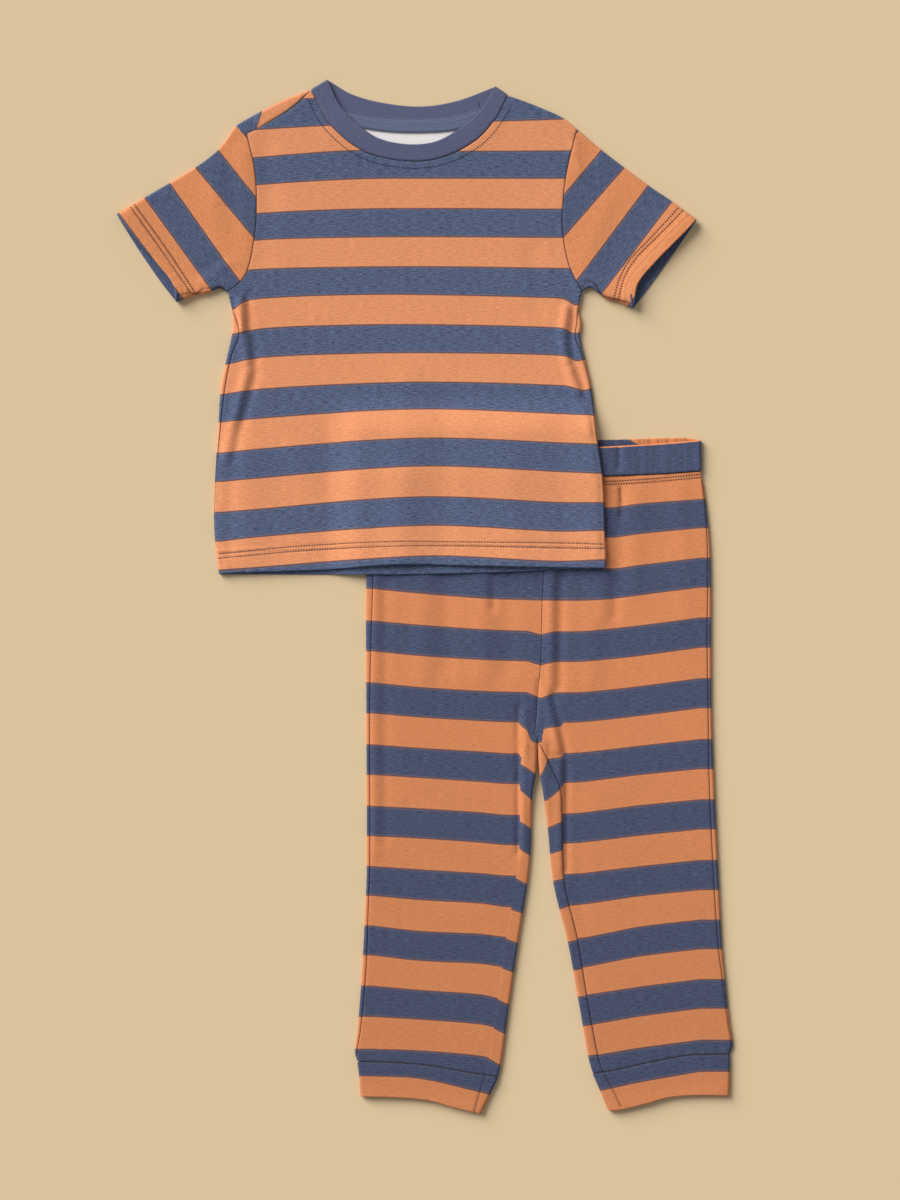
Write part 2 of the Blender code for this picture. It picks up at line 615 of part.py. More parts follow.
def side_lines():
    """The fold at each side of the top and its seam, from the hem up to the underarm."""
    right_rows = (TOP_SIDES[0]._replace(up=BACK_HEM[-1][1]),) + TOP_SIDES[1:]
    left = (top_line([(row.left, row.up) for row in TOP_SIDES]),
            top_line([(row.left + row.left_inset, row.up) for row in TOP_SIDES]))
    right = (top_line([(row.right, row.up) for row in right_rows]),
             top_line([(row.right - row.right_inset, row.up) for row in right_rows]))
    return left, right


def leg_lines(rows, inward, cuff_seam):
    """The fold at one edge of a leg and its seam, which runs from the cuff's seam up."""
    ankle = rows[-1]
    fraction = ankle.inset / cuff_seam.length
    start = cuff_seam.at(fraction if inward > 0 else 1 - fraction)
    fold = trouser_line([(row.edge, row.down) for row in reversed(rows)])
    seam = [(row.edge + inward * row.inset, row.down) for row in reversed(rows)]
    seam[0] = (start - TROUSERS_AT) * (1.0, -1.0)
    return fold, trouser_line(seam)


def neck_stretches(points):
    """A line along the neck as short stretches at its corners and straight facets between them."""
    line = top_line(points)
    return (line.part(0.0, NECK_CORNER),
            line.part(NECK_CORNER, 1.0 - NECK_CORNER).facets(NECK_PARTS),
            line.part(1.0 - NECK_CORNER, 1.0))


def both(line):
    """A fold whose seam lies right at its edge."""
    return line, line


def top_base(plan):
    """The height that the top rests on: the floor, and the trousers where they lie below it."""
    over = smooth((plan[:, 0] - DRAPE_LEFT + DRAPE_RUN) / DRAPE_RUN)
    over = over * smooth((DRAPE_FRONT + DRAPE_RUN - plan[:, 1]) / DRAPE_RUN)
    casing = smooth((plan[:, 1] - DRAPE_FRONT + 2 * CASING_DEPTH) / CASING_DEPTH)
    return over * (DRAPE_RISE + DRAPE_OVER_CASING * casing)


def floor_base(plan):
    """The height that the trousers rest on."""
    return np.zeros(len(plan))


def make_top():
    """The top's panels, sleeves, neckband and neck tape."""
    left_side, right_side = side_lines()
    left_underarm, right_underarm = top_line(LEFT_UNDERARM), top_line(RIGHT_UNDERARM)
    left_overarm, right_overarm = top_line(LEFT_OVERARM), top_line(RIGHT_OVERARM)
    left_shoulder, right_shoulder = top_line(LEFT_SHOULDER_FOLD), top_line(RIGHT_SHOULDER_FOLD)
    left_band_end = top_line((BACK_NECKLINE[0], BACK_BAND_EDGE[0]))
    right_band_end = top_line((BACK_NECKLINE[-1], BACK_BAND_EDGE[-1]))
    outline = Outline((
        (left_underarm.reversed(), left_side[0].reversed()),
        (right_side[0], right_underarm),
        (right_overarm.reversed(), right_shoulder.reversed(), right_band_end),
        (left_band_end.reversed(), left_shoulder.reversed(), left_overarm),
    ))
    lay = Lay(outline, top_base, TOP_LOFT, placed_rows(TOP_CREASES, TOP_AT),
              placed_rows(TOP_MOUTHS, TOP_AT))

    left_armhole, right_armhole, left_back_armhole = [
        top_line(points).facets(ARMHOLE_PARTS)
        for points in (LEFT_ARMHOLE, RIGHT_ARMHOLE, LEFT_BACK_ARMHOLE)]
    shoulders = ((left_shoulder, top_line(LEFT_SHOULDER_SEAM)), both(right_shoulder))
    front_neckline, back_neckline, front_band_edge, back_band_edge = [
        neck_stretches(points)
        for points in (FRONT_NECKLINE, BACK_NECKLINE, FRONT_BAND_EDGE, BACK_BAND_EDGE)]

    sides = (SIDE_PARTS, ARMHOLE_PARTS)
    neck = (1, NECK_PARTS, 1)
    neck_shares = (CORNER_SHARE, NECK_PARTS, CORNER_SHARE)
    across = (SHOULDER_PARTS, *neck, SHOULDER_PARTS)
    shares = (SHOULDER_PARTS, *neck_shares, SHOULDER_PARTS)
    width = (sum(across),)
    gaps = (0.0, SEAM_GAP, SEAM_GAP, SEAM_GAP)
    front = (
        Border(width, top_line(FRONT_HEM)),
        Border(across, shoulders[0], *front_neckline, shoulders[1], shares=shares),
        Border(sides, left_side, left_armhole),
        Border(sides, right_side, right_armhole),
    )
    points = panel(lay, 1, front, JERSEY_WALL, gaps, fold_top=True)
    solid("top_front", *points, JERSEY_WALL, ORANGE_JERSEY)
    back = (
        Border(width, top_line(BACK_HEM)),
        Border(across, shoulders[0], *back_neckline, shoulders[1], shares=shares),
        Border(sides, left_side, left_back_armhole),
        Border(sides, right_side, right_armhole),
    )
    points = panel(lay, -1, back, JERSEY_WALL, gaps, wraps=True, fold_top=True)
    solid("top_back", *points, JERSEY_WALL, ORANGE_JERSEY)

    arm = (ARMHOLE_PARTS,)
    shoulder_point = top_line((LEFT_OVERARM[0], LEFT_SHOULDER_SEAM[0]))
    left_hems = top_line(LEFT_SLEEVE_FRONT_HEM), top_line(LEFT_SLEEVE_BACK_HEM)
    right_hems = top_line(RIGHT_SLEEVE_FRONT_HEM), top_line(RIGHT_SLEEVE_BACK_HEM)
    left_halves = (
        (Border((1, ARMHOLE_PARTS), shoulder_point, left_armhole.reversed()),
         Border((1 + ARMHOLE_PARTS,), left_hems[0])),
        (Border(arm, left_back_armhole.reversed()), Border(arm, left_hems[1])),
    )
    right_halves = [(Border(arm, right_armhole.reversed()), Border(arm, hem)) for hem in right_hems]
    for name, halves, folds in (("sleeve_left", left_halves, (left_overarm, left_underarm)),
                                ("sleeve_right", right_halves, (right_overarm, right_underarm))):
        folds = [Border((SLEEVE_PARTS,), both(line)) for line in folds]
        points = ring(lay, *[(*ends, *folds) for ends in halves], JERSEY_WALL)
        solid(name, *points, JERSEY_WALL, SLATE_JERSEY, closed=True)

    folds = [Border((BAND_PARTS,), both(line)) for line in (left_band_end, right_band_end)]
    halves = [(Border(neck, *seam, shares=neck_shares), Border(neck, *edge, shares=neck_shares), *folds)
              for seam, edge in ((front_neckline, front_band_edge), (back_neckline, back_band_edge))]
    solid("neckband", *ring(lay, *halves, RIB_WALL, NECK_GAP), RIB_WALL, NECK_RIB, closed=True)

    tape_top = top_line(TAPE_TOP)
    rows = (1.0, 0.5, 0.0)
    plan = np.array([tape_top.at(k / TAPE_PARTS) - (0.0, TAPE_DEPTH * part)
                     for part in rows for k in range(TAPE_PARTS + 1)])
    middle, outs = lay.raise_up(plan, np.full(len(plan), math.nan), np.full(len(plan), -1), JERSEY_WALL)
    grid = (len(rows), TAPE_PARTS + 1, 3)
    lift = -(JERSEY_WALL + TAPE_WALL) / 2 - SEAM_GAP
    solid("neck_tape", middle.reshape(grid), outs.reshape(grid), TAPE_WALL, NECK_TAPE, shift=lift)


def make_trousers():
    """The trousers' four leg panels, waistband and cuffs."""
    left_cuff_seam, right_cuff_seam = trouser_line(LEFT_CUFF_SEAM), trouser_line(RIGHT_CUFF_SEAM)
    left_outer = leg_lines(LEFT_OUTER, 1.0, left_cuff_seam)
    left_inner = leg_lines(LEFT_INNER, -1.0, left_cuff_seam)
    right_inner = leg_lines(RIGHT_INNER, 1.0, right_cuff_seam)
    right_outer = leg_lines(RIGHT_OUTER, -1.0, right_cuff_seam)
    cuff_folds = [trouser_line(points) for points in
                  (LEFT_CUFF_OUTER, LEFT_CUFF_INNER, RIGHT_CUFF_INNER, RIGHT_CUFF_OUTER)]
    waist_folds = [trouser_line((LEFT_WAIST_SEAM[0], BACK_WAIST[0])),
                   trouser_line((RIGHT_WAIST_SEAM[-1], BACK_WAIST[-1]))]
    outline = Outline((
        (waist_folds[0].reversed(), left_outer[0].reversed(), cuff_folds[0]),
        (cuff_folds[1].reversed(), left_inner[0], right_inner[0].reversed(), cuff_folds[2]),
        (cuff_folds[3].reversed(), right_outer[0], waist_folds[1]),
    ))
    lay = Lay(outline, floor_base, TROUSERS_LOFT, placed_rows(TROUSER_CREASES, TROUSERS_AT, -1.0),
              placed_rows(CUFF_MOUTHS, TROUSERS_AT, -1.0))

    gaps = (SEAM_GAP,) * 4
    down, across = (LEG_PARTS, RISE_PARTS), (LEG_COLUMNS,)
    waist_seams = (trouser_line(LEFT_WAIST_SEAM), trouser_line(RIGHT_WAIST_SEAM))
    for word, side, centre in (("front", 1, CENTRE_SEAM), ("back", -1, CENTRE_BACK_SEAM)):
        rise = trouser_line(centre).reversed()
        legs = (
            ("left", left_cuff_seam, waist_seams[0], LEFT_OUTER, LEFT_INNER,
             (Border((sum(down),), left_outer), Border(down, left_inner, rise))),
            ("right", right_cuff_seam, waist_seams[1], RIGHT_INNER, RIGHT_OUTER,
             (Border(down, right_inner, rise), Border((sum(down),), right_outer))),
        )
        for hand, cuff, waist, west, east, sides in legs:
            if side > 0:
                cuff = cuff.part(west[-1].inset / cuff.length, 1.0 - east[-1].inset / cuff.length)
            borders = (Border(across, cuff), Border(across, waist), *sides)
            points = panel(lay, side, borders, JERSEY_WALL, gaps, wraps=side < 0)
            solid(f"trouser_{word}_{hand}", *points, JERSEY_WALL, ORANGE_JERSEY)

    casing_lay = Lay(outline, floor_base, CASING_LOFT, (), ())
    folds = [Border((BAND_PARTS,), both(line)) for line in waist_folds]
    seam = Border((CASING_PARTS, CASING_PARTS), *waist_seams)
    halves = [(seam, Border((2 * CASING_PARTS,), trouser_line(edge)), *folds)
              for edge in (FRONT_WAIST, BACK_WAIST)]
    solid("waistband", *ring(casing_lay, *halves, CASING_WALL), CASING_WALL, SLATE_JERSEY, closed=True)

    cuff_lay = Lay(outline, floor_base, RIB_LOFT, (), placed_rows(CUFF_MOUTHS, TROUSERS_AT, -1.0))
    cuffs = (("cuff_left", left_cuff_seam, LEFT_CUFF_EDGE, cuff_folds[:2]),
             ("cuff_right", right_cuff_seam, RIGHT_CUFF_EDGE, cuff_folds[2:]))
    for name, seam, edge, folds in cuffs:
        borders = (Border(across, seam), Border(across, trouser_line(edge)),
                   *[Border((BAND_PARTS,), both(line)) for line in folds])
        solid(name, *ring(cuff_lay, borders, borders, RIB_WALL), RIB_WALL, SLATE_JERSEY, closed=True)


make_top()
make_trousers()
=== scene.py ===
"""Looks of a toddler's pyjama set laid flat: a short-sleeved top over the waist of long trousers.

Each garment has a frame in millimetres: the top's is its centre line and the height over its hem, the
trousers' their centre line and the distance down from their waist. Panels are thin walls on the form
of the solids, with their folds, seams, stripes and stitches worked out from the tables below.
"""
from __future__ import annotations

import logging
import math
from dataclasses import dataclass
from enum import Enum
from functools import partial
from typing import Callable, NamedTuple, Sequence

import bpy
import numpy as np
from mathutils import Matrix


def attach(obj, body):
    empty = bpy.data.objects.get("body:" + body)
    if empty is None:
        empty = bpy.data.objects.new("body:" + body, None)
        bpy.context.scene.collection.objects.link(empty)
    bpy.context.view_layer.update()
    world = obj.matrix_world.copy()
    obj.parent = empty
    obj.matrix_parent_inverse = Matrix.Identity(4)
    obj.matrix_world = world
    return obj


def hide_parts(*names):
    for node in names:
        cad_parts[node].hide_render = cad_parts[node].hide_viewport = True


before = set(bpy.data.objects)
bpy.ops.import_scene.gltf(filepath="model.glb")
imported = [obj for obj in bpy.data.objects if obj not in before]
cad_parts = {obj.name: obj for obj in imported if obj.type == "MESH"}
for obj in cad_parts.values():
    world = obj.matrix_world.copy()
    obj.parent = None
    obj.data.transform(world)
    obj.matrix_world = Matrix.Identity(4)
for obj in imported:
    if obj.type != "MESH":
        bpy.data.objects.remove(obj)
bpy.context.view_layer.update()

LOG = logging.getLogger("pyjama_set")
MM = 0.001
BODY = "root"
PITCH = 23.6  # the width of a stripe in millimetres
FAR = 99.0  # a distance from a border at which nothing of it is felt
BELOW = -0.38  # where stitches lie on the side that faces the floor, from the cloth's face
Points = np.ndarray
Pairs = Sequence[Sequence[float]]
Paint = tuple[float, float, float]


class Layer(Enum):
    """Which of a laid garment's two layers a panel belongs to."""

    UPPER = 1
    LOWER = -1


class Edge(Enum):
    """What happens to the cloth at a border."""

    SEAM = "sewn to a neighbour"
    FREE = "folded over"
    HEM = "turned under and stitched"
    JOIN = "runs on into the other half of a tube"


class Crease(NamedTuple):
    """A soft fold: a line in a garment's frame, its half width and its height, a trough below 0."""

    x0: float
    y0: float
    x1: float
    y1: float
    reach: float
    height: float


class Side(NamedTuple):
    """A height of the top: its plan edges, and how far in its side seams lie on the front."""

    up: float
    left: float
    left_inset: float
    right: float
    right_inset: float


class Leg(NamedTuple):
    """A height of a leg: its plan edge, and how far in its seam lies on the front."""

    down: float
    edge: float
    inset: float


@dataclass(frozen=True)
class Frame:
    """A garment's own plan frame."""

    x: float  # where its centre line lies
    y: float  # where its zero line lies
    up: float  # 1 where its second coordinate grows towards the neck, -1 where it grows downwards

    def place(self, points: Pairs) -> Points:
        """Plan points of the object for points of the garment."""
        return np.asarray(points, float) * (1.0, self.up) + (self.x, self.y)

    def local(self, plan: Points) -> Points:
        """Points of the garment for plan points of the object."""
        return (plan - (self.x, self.y)) * (1.0, self.up)

    def line(self, *knots: Sequence[float]) -> Line:
        """The smooth line through a few points of the garment."""
        return Line.through(self.place(knots))

    def creases(self, rows: Pairs) -> list[Crease]:
        """Rows of soft folds, moved to where the garment lies."""
        ends = [self.place((row[:2], row[2:4])) for row in rows]
        return [Crease(*start, *end, *row[4:]) for row, (start, end) in zip(rows, ends)]


TOP = Frame(-10.8, 21.5, 1.0)
TROUSERS = Frame(92.4, 125.5, -1.0)

# The sides of the top.
TOP_SIDES = (
    Side(-3.5, -153, 0, 155.2, 0), Side(32, -156.8, 0, 154.4, 0), Side(72, -156.2, 0, 152.8, 0),
    Side(112, -153.6, 1.2, 147.2, 0), Side(144, -151.6, 2.8, 144, 0.4), Side(171, -146.4, 3, 137.8, 1),
    Side(186, -143, 5.4, 134.6, 3.2), Side(197.5, -141.6, 3, 135.6, 3), Side(208, -142.8, 0, 133.6, 0),
    Side(222.5, -146, 0, 136.4, 0),
)

# The lines of the top's cut, each a smooth curve through its points.
FRONT_HEM = (
    (-153, -3.5), (-144, -2.4), (-90, -0.6), (-65, 0.4), (-9, 4.4), (43, 3.4), (113, 2), (155.2, 1.5),
)
BACK_HEM = ((-153, -3.5), (-9, -3.5), (78, -1.6), (122, 0.6), (155.2, 1.5))
LEFT_ARMHOLE = (
    (-146, 222.5), (-137, 229.5), (-130.5, 240), (-125.5, 264), (-123.5, 290), (-125, 320), (-131.5, 349),
)
RIGHT_ARMHOLE = (
    (136.4, 223), (129, 237), (124.5, 250), (121, 275), (122.2, 302), (125, 321), (132.5, 351.8),
)
LEFT_BACK_ARMHOLE = (
    (-146, 222.5), (-137, 229.5), (-131, 240), (-127, 264), (-126, 290), (-129.5, 325), (-139.5, 355),
)
LEFT_SHOULDER_SEAM = ((-131.5, 349), (-122, 353.2), (-109, 360.6), (-93, 370.6), (-80, 383.4))
LEFT_SHOULDER_FOLD = ((-139.5, 355), (-120, 366), (-102, 375), (-89, 380.2), (-80, 383.4))
RIGHT_SHOULDER_FOLD = ((77.4, 379), (94, 373.1), (111.4, 366), (122.4, 360.5), (132.5, 351.8))
FRONT_NECKLINE = (
    (-80, 383.4), (-66, 357.5), (-40, 335.6), (-10, 327.3), (21, 328.5), (50.5, 342.2), (68, 361),
    (77.4, 379),
)
BACK_NECKLINE = (
    (-80, 383.4), (-68.8, 373.6), (-48.8, 365.6), (-20.8, 360.4), (7.2, 359.2), (35.2, 361.6),
    (59.2, 369.6), (77.4, 379),
)
FRONT_BAND_EDGE = (
    (-66.4, 391.5), (-55.2, 369), (-30.4, 347.2), (-5.8, 340.4), (19, 342.2), (41.4, 354.5), (57, 369),
    (66.8, 386.2),
)
BACK_BAND_EDGE = ((-66.4, 391.5), (-47, 380.3), (-21.5, 373.4), (9, 370.7), (37, 375.2), (66.8, 386.2))
TAPE_TOP = ((-66, 371), (-48, 364.4), (-20.8, 359.6), (7.2, 358.6), (35, 360.8), (59, 368.2))
TAPE_DEPTH = 9.2

LEFT_OVERARM = ((-139.5, 355), (-153.3, 336), (-172.6, 321), (-213, 297), (-235, 283.6))
LEFT_UNDERARM = ((-146, 222.5), (-153, 225.6), (-161, 222.8), (-175.4, 219.2), (-188, 214.8))
LEFT_SLEEVE_FRONT_HEM = ((-235, 283.6), (-220.5, 265.5), (-203, 245), (-190, 228), (-188, 214.8))
LEFT_SLEEVE_BACK_HEM = ((-235, 283.6), (-219.5, 258.6), (-201, 231.5), (-188, 214.8))
RIGHT_OVERARM = ((132.5, 351.8), (151, 336), (189.7, 306.7), (208.6, 294), (228, 279))
RIGHT_UNDERARM = (
    (136.4, 222.5), (143.5, 225.6), (149.6, 221.6), (156, 216.8), (165.2, 214.8), (178, 209.5),
)
RIGHT_SLEEVE_FRONT_HEM = ((228, 279), (211, 262), (194.2, 244.8), (181, 228), (178, 209.5))
RIGHT_SLEEVE_BACK_HEM = ((228, 279), (212, 256), (197.6, 236), (178, 209.5))

# The edges of the legs, each row the values of a Leg.
LEFT_OUTER = (
    (27.2, -125, 0), (56, -131.2, 1.2), (84, -136, 3.2), (115, -138.4, 4.8), (208, -138.4, 2.4),
    (344, -138, 2), (374, -139.2, 2), (422, -141.6, 2.8), (470, -145.2, 2), (490, -147.4, 1.2),
    (496.8, -145.4, 0.6),
)
RIGHT_OUTER = (
    (25, 128.4, 0), (57.6, 132.8, 0.8), (96, 135.6, 1.6), (160, 136, 2.4), (216, 136.4, 2),
    (272, 138.4, 3.2), (358, 142.4, 3.2), (406, 144.8, 2.2), (430, 147.2, 1.6), (464, 150.6, 0.8),
    (484, 153.4, 0.8), (491, 151, 0.4),
)
LEFT_INNER = (
    (241, -2.1, 0), (247, -2.9, 8), (255, -3.1, 11.6), (266, -3.7, 11.8), (284, -6.8, 8.8),
    (328, -8.2, 8.4), (354.4, -10.8, 9), (400.8, -18, 9.6), (447.2, -24.8, 9), (495.2, -31.2, 10),
    (509, -34, 10),
)
RIGHT_INNER = (
    (241, -2.1, 0), (247, -1.3, 3), (255, -1, 6.8), (266, 0, 11), (279, 2.3, 14), (308.8, 6.4, 11.4),
    (354.4, 11.2, 8.4), (400, 22.4, 7.8), (446.4, 30.9, 6.8), (493.6, 39.2, 7.4), (506, 42.4, 8),
)
CENTRE_SEAM = (
    (1.6, 29.8), (2.4, 106), (1.2, 130), (0, 180), (-2.8, 208), (-3.4, 222), (-4.2, 229), (-5.4, 234),
    (-2.6, 238), (-2.1, 241),
)
CENTRE_BACK_SEAM = ((1.6, 29.8), (0, 120), (-1, 200), (-2.1, 241))
LEFT_WAIST_SEAM = ((-125, 27.2), (-60, 29.6), (1.6, 29.8))
RIGHT_WAIST_SEAM = ((1.6, 29.8), (50, 29.2), (100, 27.2), (128.4, 25))
FRONT_WAIST = ((-124.6, 0.4), (-60, 5), (0, 6.4), (48, 5.6), (100, 2.6), (128, 0.2))
BACK_WAIST = ((-124.6, 0.4), (-60, -0.4), (48, 0), (115, -1.6), (128, 0.2))

LEFT_CUFF_SEAM = ((-145.4, 496.8), (-120.4, 497.6), (-88.8, 500), (-57, 505.6), (-34, 509))
LEFT_CUFF_EDGE = ((-142.8, 524.8), (-112.5, 525.6), (-88.8, 528), (-69.8, 533.2), (-48, 538.6))
LEFT_CUFF_OUTER = ((-145.4, 496.8), (-144, 508), (-142.8, 524.8))
LEFT_CUFF_INNER = ((-34, 509), (-41.2, 524), (-48, 538.6))
RIGHT_CUFF_SEAM = ((42.4, 506), (54, 504.8), (66.4, 502.2), (95, 496), (118.4, 492), (151, 491))
RIGHT_CUFF_EDGE = ((55, 535.8), (62, 535.6), (82.4, 531), (102.8, 525.4), (126.4, 523.6), (150.4, 524))
RIGHT_CUFF_INNER = ((42.4, 506), (48.6, 520), (55, 535.8))
RIGHT_CUFF_OUTER = ((151, 491), (150.8, 508), (150.4, 524))

# Soft folds of the upper layer, each a row of the values of a crease.
TOP_CREASES = (
    (-116, 340, -113.5, 306, 9, -0.8), (-113, 292, -118, 250, 9, -0.5), (-134, 330, -132, 306, 8, 0.8),
    (-131, 292, -135, 248, 8, 0.5), (-136.6, 214, -135.2, 192, 3.2, 3.6),
    (-133, 186, -131, 166, 3.8, 2.2), (-131, 158, -141.6, 118, 4, 2), (-143.6, 111, -148, 88, 4, 1.3),
    (-130.6, 218, -129.2, 192, 3, -1.5), (-126.8, 186, -124.2, 166, 3.6, -1.4),
    (-124.2, 158, -134.8, 118, 4, -1.3), (-137, 111, -141.4, 88, 4, -1), (124, 208, 121, 188, 3.6, 2.2),
    (121.6, 181, 124.4, 166, 3.6, 2.3), (126.5, 159.5, 133, 141, 3.6, 2.5), (136, 133, 143, 112, 5, 1),
    (130.2, 208, 127.8, 188, 3.4, -1.4), (128, 181, 130.4, 166, 3.4, -1.4),
    (132.6, 159.5, 139.1, 143, 3.4, -1.4), (98, 254, 101, 210, 9, -0.6),
    (134.4, 346, 146.4, 330, 3.2, -1.2), (130.4, 338, 134, 318, 4, 0.8), (-165, 232, -146, 243, 4, 0.6),
    (-168, 238, -152, 249, 5, -0.5), (-158, 322, -152, 298, 7, 0.8), (-132, 92, -130, 22, 17, 1.5),
    (-143.5, 74, -145.5, 14, 5, -0.7), (-66, 90, -68, 12, 16, -0.9), (-97, 92, -72, 50, 9, 0.5),
    (-5, 150, -6, 100, 14, 0.8), (-6, 74, -8, 10, 14, 1.9), (27, 130, 26, 10, 12, -1),
    (80, 104, 82, 10, 15, 1), (120, 110, 124, 10, 12, -0.9), (149, 112, 151, 12, 9, 0.8),
    (-150, 250, -160, 300, 9, 0.6), (140, 248, 156, 292, 9, 0.6),
)
TROUSER_CREASES = (
    (-93, 34, -93, 188, 9, 0.9), (-75, 34, -75, 182, 8, -0.8), (-45, 34, -46, 188, 9, 0.9),
    (-27, 34, -26, 182, 8, -0.8), (-131, 100, -131.5, 330, 5, 0.7), (-124, 100, -124.5, 320, 5, -0.6),
    (16.6, 106, 15.4, 196, 4.2, -1.4), (8.8, 104, 8, 196, 4, 1.3), (-37.5, 106, -37.5, 134, 3.6, -1.2),
    (50.5, 104, 50, 140, 6, 0.8), (60.5, 104, 60, 140, 5, -0.9), (42, 100, 42, 192, 8, 0.7),
    (48, 36, 49, 84, 7, 0.6), (62, 36, 62, 96, 6, -0.8), (78, 36, 76, 120, 8, 0.7),
    (112, 34, 116, 140, 8, 0.6), (-10, 228, -10, 262, 5, 0.8), (-13, 280, -13, 350, 6, 0.6),
    (12, 214, 12, 246, 5, 0.7), (28, 284, 34, 440, 9, -0.6), (-17.2, 214, -17.6, 330, 2.8, -1.5),
    (-12.4, 216, -12.8, 326, 2.8, 1.4), (3, 240, 1.5, 258, 3.5, 0.6), (10.6, 204, 20.4, 251, 3, -1.5),
    (4.4, 204, 14.4, 248, 3.2, 1.5), (20.8, 258, 21, 344, 3, -1.5), (15.6, 256, 15.8, 344, 3, 1.3),
    (-1.2, 192, -3.4, 224, 2.2, -0.9), (6.6, 244, 6.6, 262, 1.8, -0.6), (61.4, 40, 61.8, 61, 3, 0.7),
    (65.4, 40, 65.8, 61, 3, -0.9),
)
WAIST_CREASES = (
    (63.2, 7, 63.4, 22, 2.2, -1.2), (70, 8, 70, 26, 4, 0.4), (52, 8, 52, 26, 4, 0.4),
    (-30, 8, -30, 26, 5, 0.4), (92, 8, 92, 26, 6, -0.4),
)
# Where a mouth stands open: a crease along its edge, which says how far in it reaches and the rise.
TOP_MOUTHS = (
    (-228, 276, -196, 228, 17, 1.5), (220, 270, 185, 224, 19, 2), (-150, 2, 150, 4, 16, 0.2),
    (-56, 352, 50, 350, 18, 0.5), (-186, 218, -152, 224, 12, 0.9), (148, 224, 176, 212, 12, 0.9),
)
TROUSER_MOUTHS = (
    (-2, 246, -0.5, 286, 13, 1.1), (-134, 527, -54, 536, 9, 0.5), (60, 536, 142, 524, 9, 0.5),
)

# Where stripes start, at each of the stations across a garment. The top's first row starts stripe -1.
TOP_STATIONS = (-151.2, -119.2, -44.8, 23.2, 116, 151.2)
TOP_STRIPES = (
    (372.8, 375.2, 377.6, 378.4, 379.2, 380), (348.8, 352.2, 356, 357.6, 360.2, 362.4),
    (326.4, 329.9, 335.1, 334.4, 334.7, 335.2), (304.8, 308.2, 312.5, 313.1, 313, 313.6),
    (281.6, 285, 288.2, 288.7, 288.2, 288.8), (260, 264, 266, 266.4, 265.8, 266),
    (236.8, 240.2, 241.9, 242.2, 240.9, 240.4), (212, 217.1, 220.1, 219.9, 217.5, 215),
    (186, 192.6, 195.6, 195.8, 193.4, 189.8), (163.6, 169.9, 173.1, 173.6, 171.8, 167.8),
    (140, 144.4, 148.6, 150, 147.4, 144.4), (118.4, 121.5, 126.6, 128.5, 124.8, 123.2),
    (93.2, 96.6, 102.6, 105.1, 101.4, 100), (70.8, 73.8, 80.2, 83, 78.7, 77.1),
    (46, 48.6, 55.4, 58.3, 53.8, 53.6), (23.2, 26.9, 32.8, 35.7, 31.1, 31.7),
    (0, 2.3, 8, 11.1, 6.8, 8), (-24.8, -22.4, -16.8, -14.4, -17.6, -16),
)
TROUSER_STATIONS = (-134.4, -96, -48, -24, 28, 53.6, 80, 128)
TROUSER_STRIPES = (
    (25.6, 25.6, 25.6, 25.6, 25.5, 25.8, 25.8, 23.4),
    (48, 48.8, 49.6, 50.4, 50.6, 54.6, 51.4, 47.8),
    (70.4, 71.2, 72.4, 72.8, 73, 77.8, 74.8, 70.1),
    (93.6, 95.2, 96.8, 97.6, 96.8, 103.2, 100.4, 94.6),
    (118.6, 122.4, 126.2, 127.3, 128.1, 127, 123.7, 117.6),
    (144.9, 148.3, 151.7, 152.7, 153.5, 151.6, 148.7, 142.4),
    (168.4, 172.2, 175.3, 176.2, 177, 175.1, 172.2, 165.6),
    (194.3, 198, 201, 201.8, 202.2, 200.2, 197.2, 190.9),
    (218.1, 221.3, 224.2, 225.2, 225.4, 223.2, 220.1, 214),
    (243.8, 246.6, 249.5, 251, 250.5, 248, 244.8, 239.6),
    (267.2, 269.7, 272.9, 274.5, 273.4, 270.6, 267.3, 262.6),
    (292.9, 295, 298.1, 300.2, 298.8, 295.8, 292.4, 287.7),
    (316.2, 318.1, 321.4, 323.4, 321.8, 319, 315.8, 310.8),
    (341.1, 343.7, 346.7, 348.7, 347.1, 344.3, 341.1, 336.1),
    (363.8, 367.2, 370, 373, 371.4, 368, 364.2, 359.3),
    (388.5, 392.9, 395.2, 398, 399, 394.5, 389.3, 383.8),
    (411.4, 415.8, 418.2, 421.2, 421.9, 417.4, 412.3, 406.5),
    (436.6, 440, 443.5, 448, 444.8, 441.3, 437.3, 431.3),
    (460.5, 462.8, 466.6, 471.2, 468.8, 464.8, 460.2, 454),
    (487.1, 488.4, 492.5, 497.6, 494.4, 490.5, 486.1, 479.8),
    (508, 510, 520.8, 526.4, 523.2, 518.4, 512.8, 504.4),
    (532.8, 535.2, 547.2, 552.8, 548, 543.1, 537.6, 528.8),
)

# How far down the top's stripes dip in the folds beside its side seams, as creases.
TOP_DIPS = (
    (131.6, 216, 131, 201, 6.5, 4.6), (130, 192, 133, 160, 6, 3), (135.5, 150, 136.5, 140, 6, 2.6),
    (-142, 214, -141, 206, 6, 5),
)

SLEEVE_STATIONS = (0, 83.6)
SLEEVE_STRIPES = (
    (-24, -24), (0, 0), (24.1, 22.6), (47, 44.6), (70.7, 75), (93.6, 96), (118, 120), (142, 144),
)

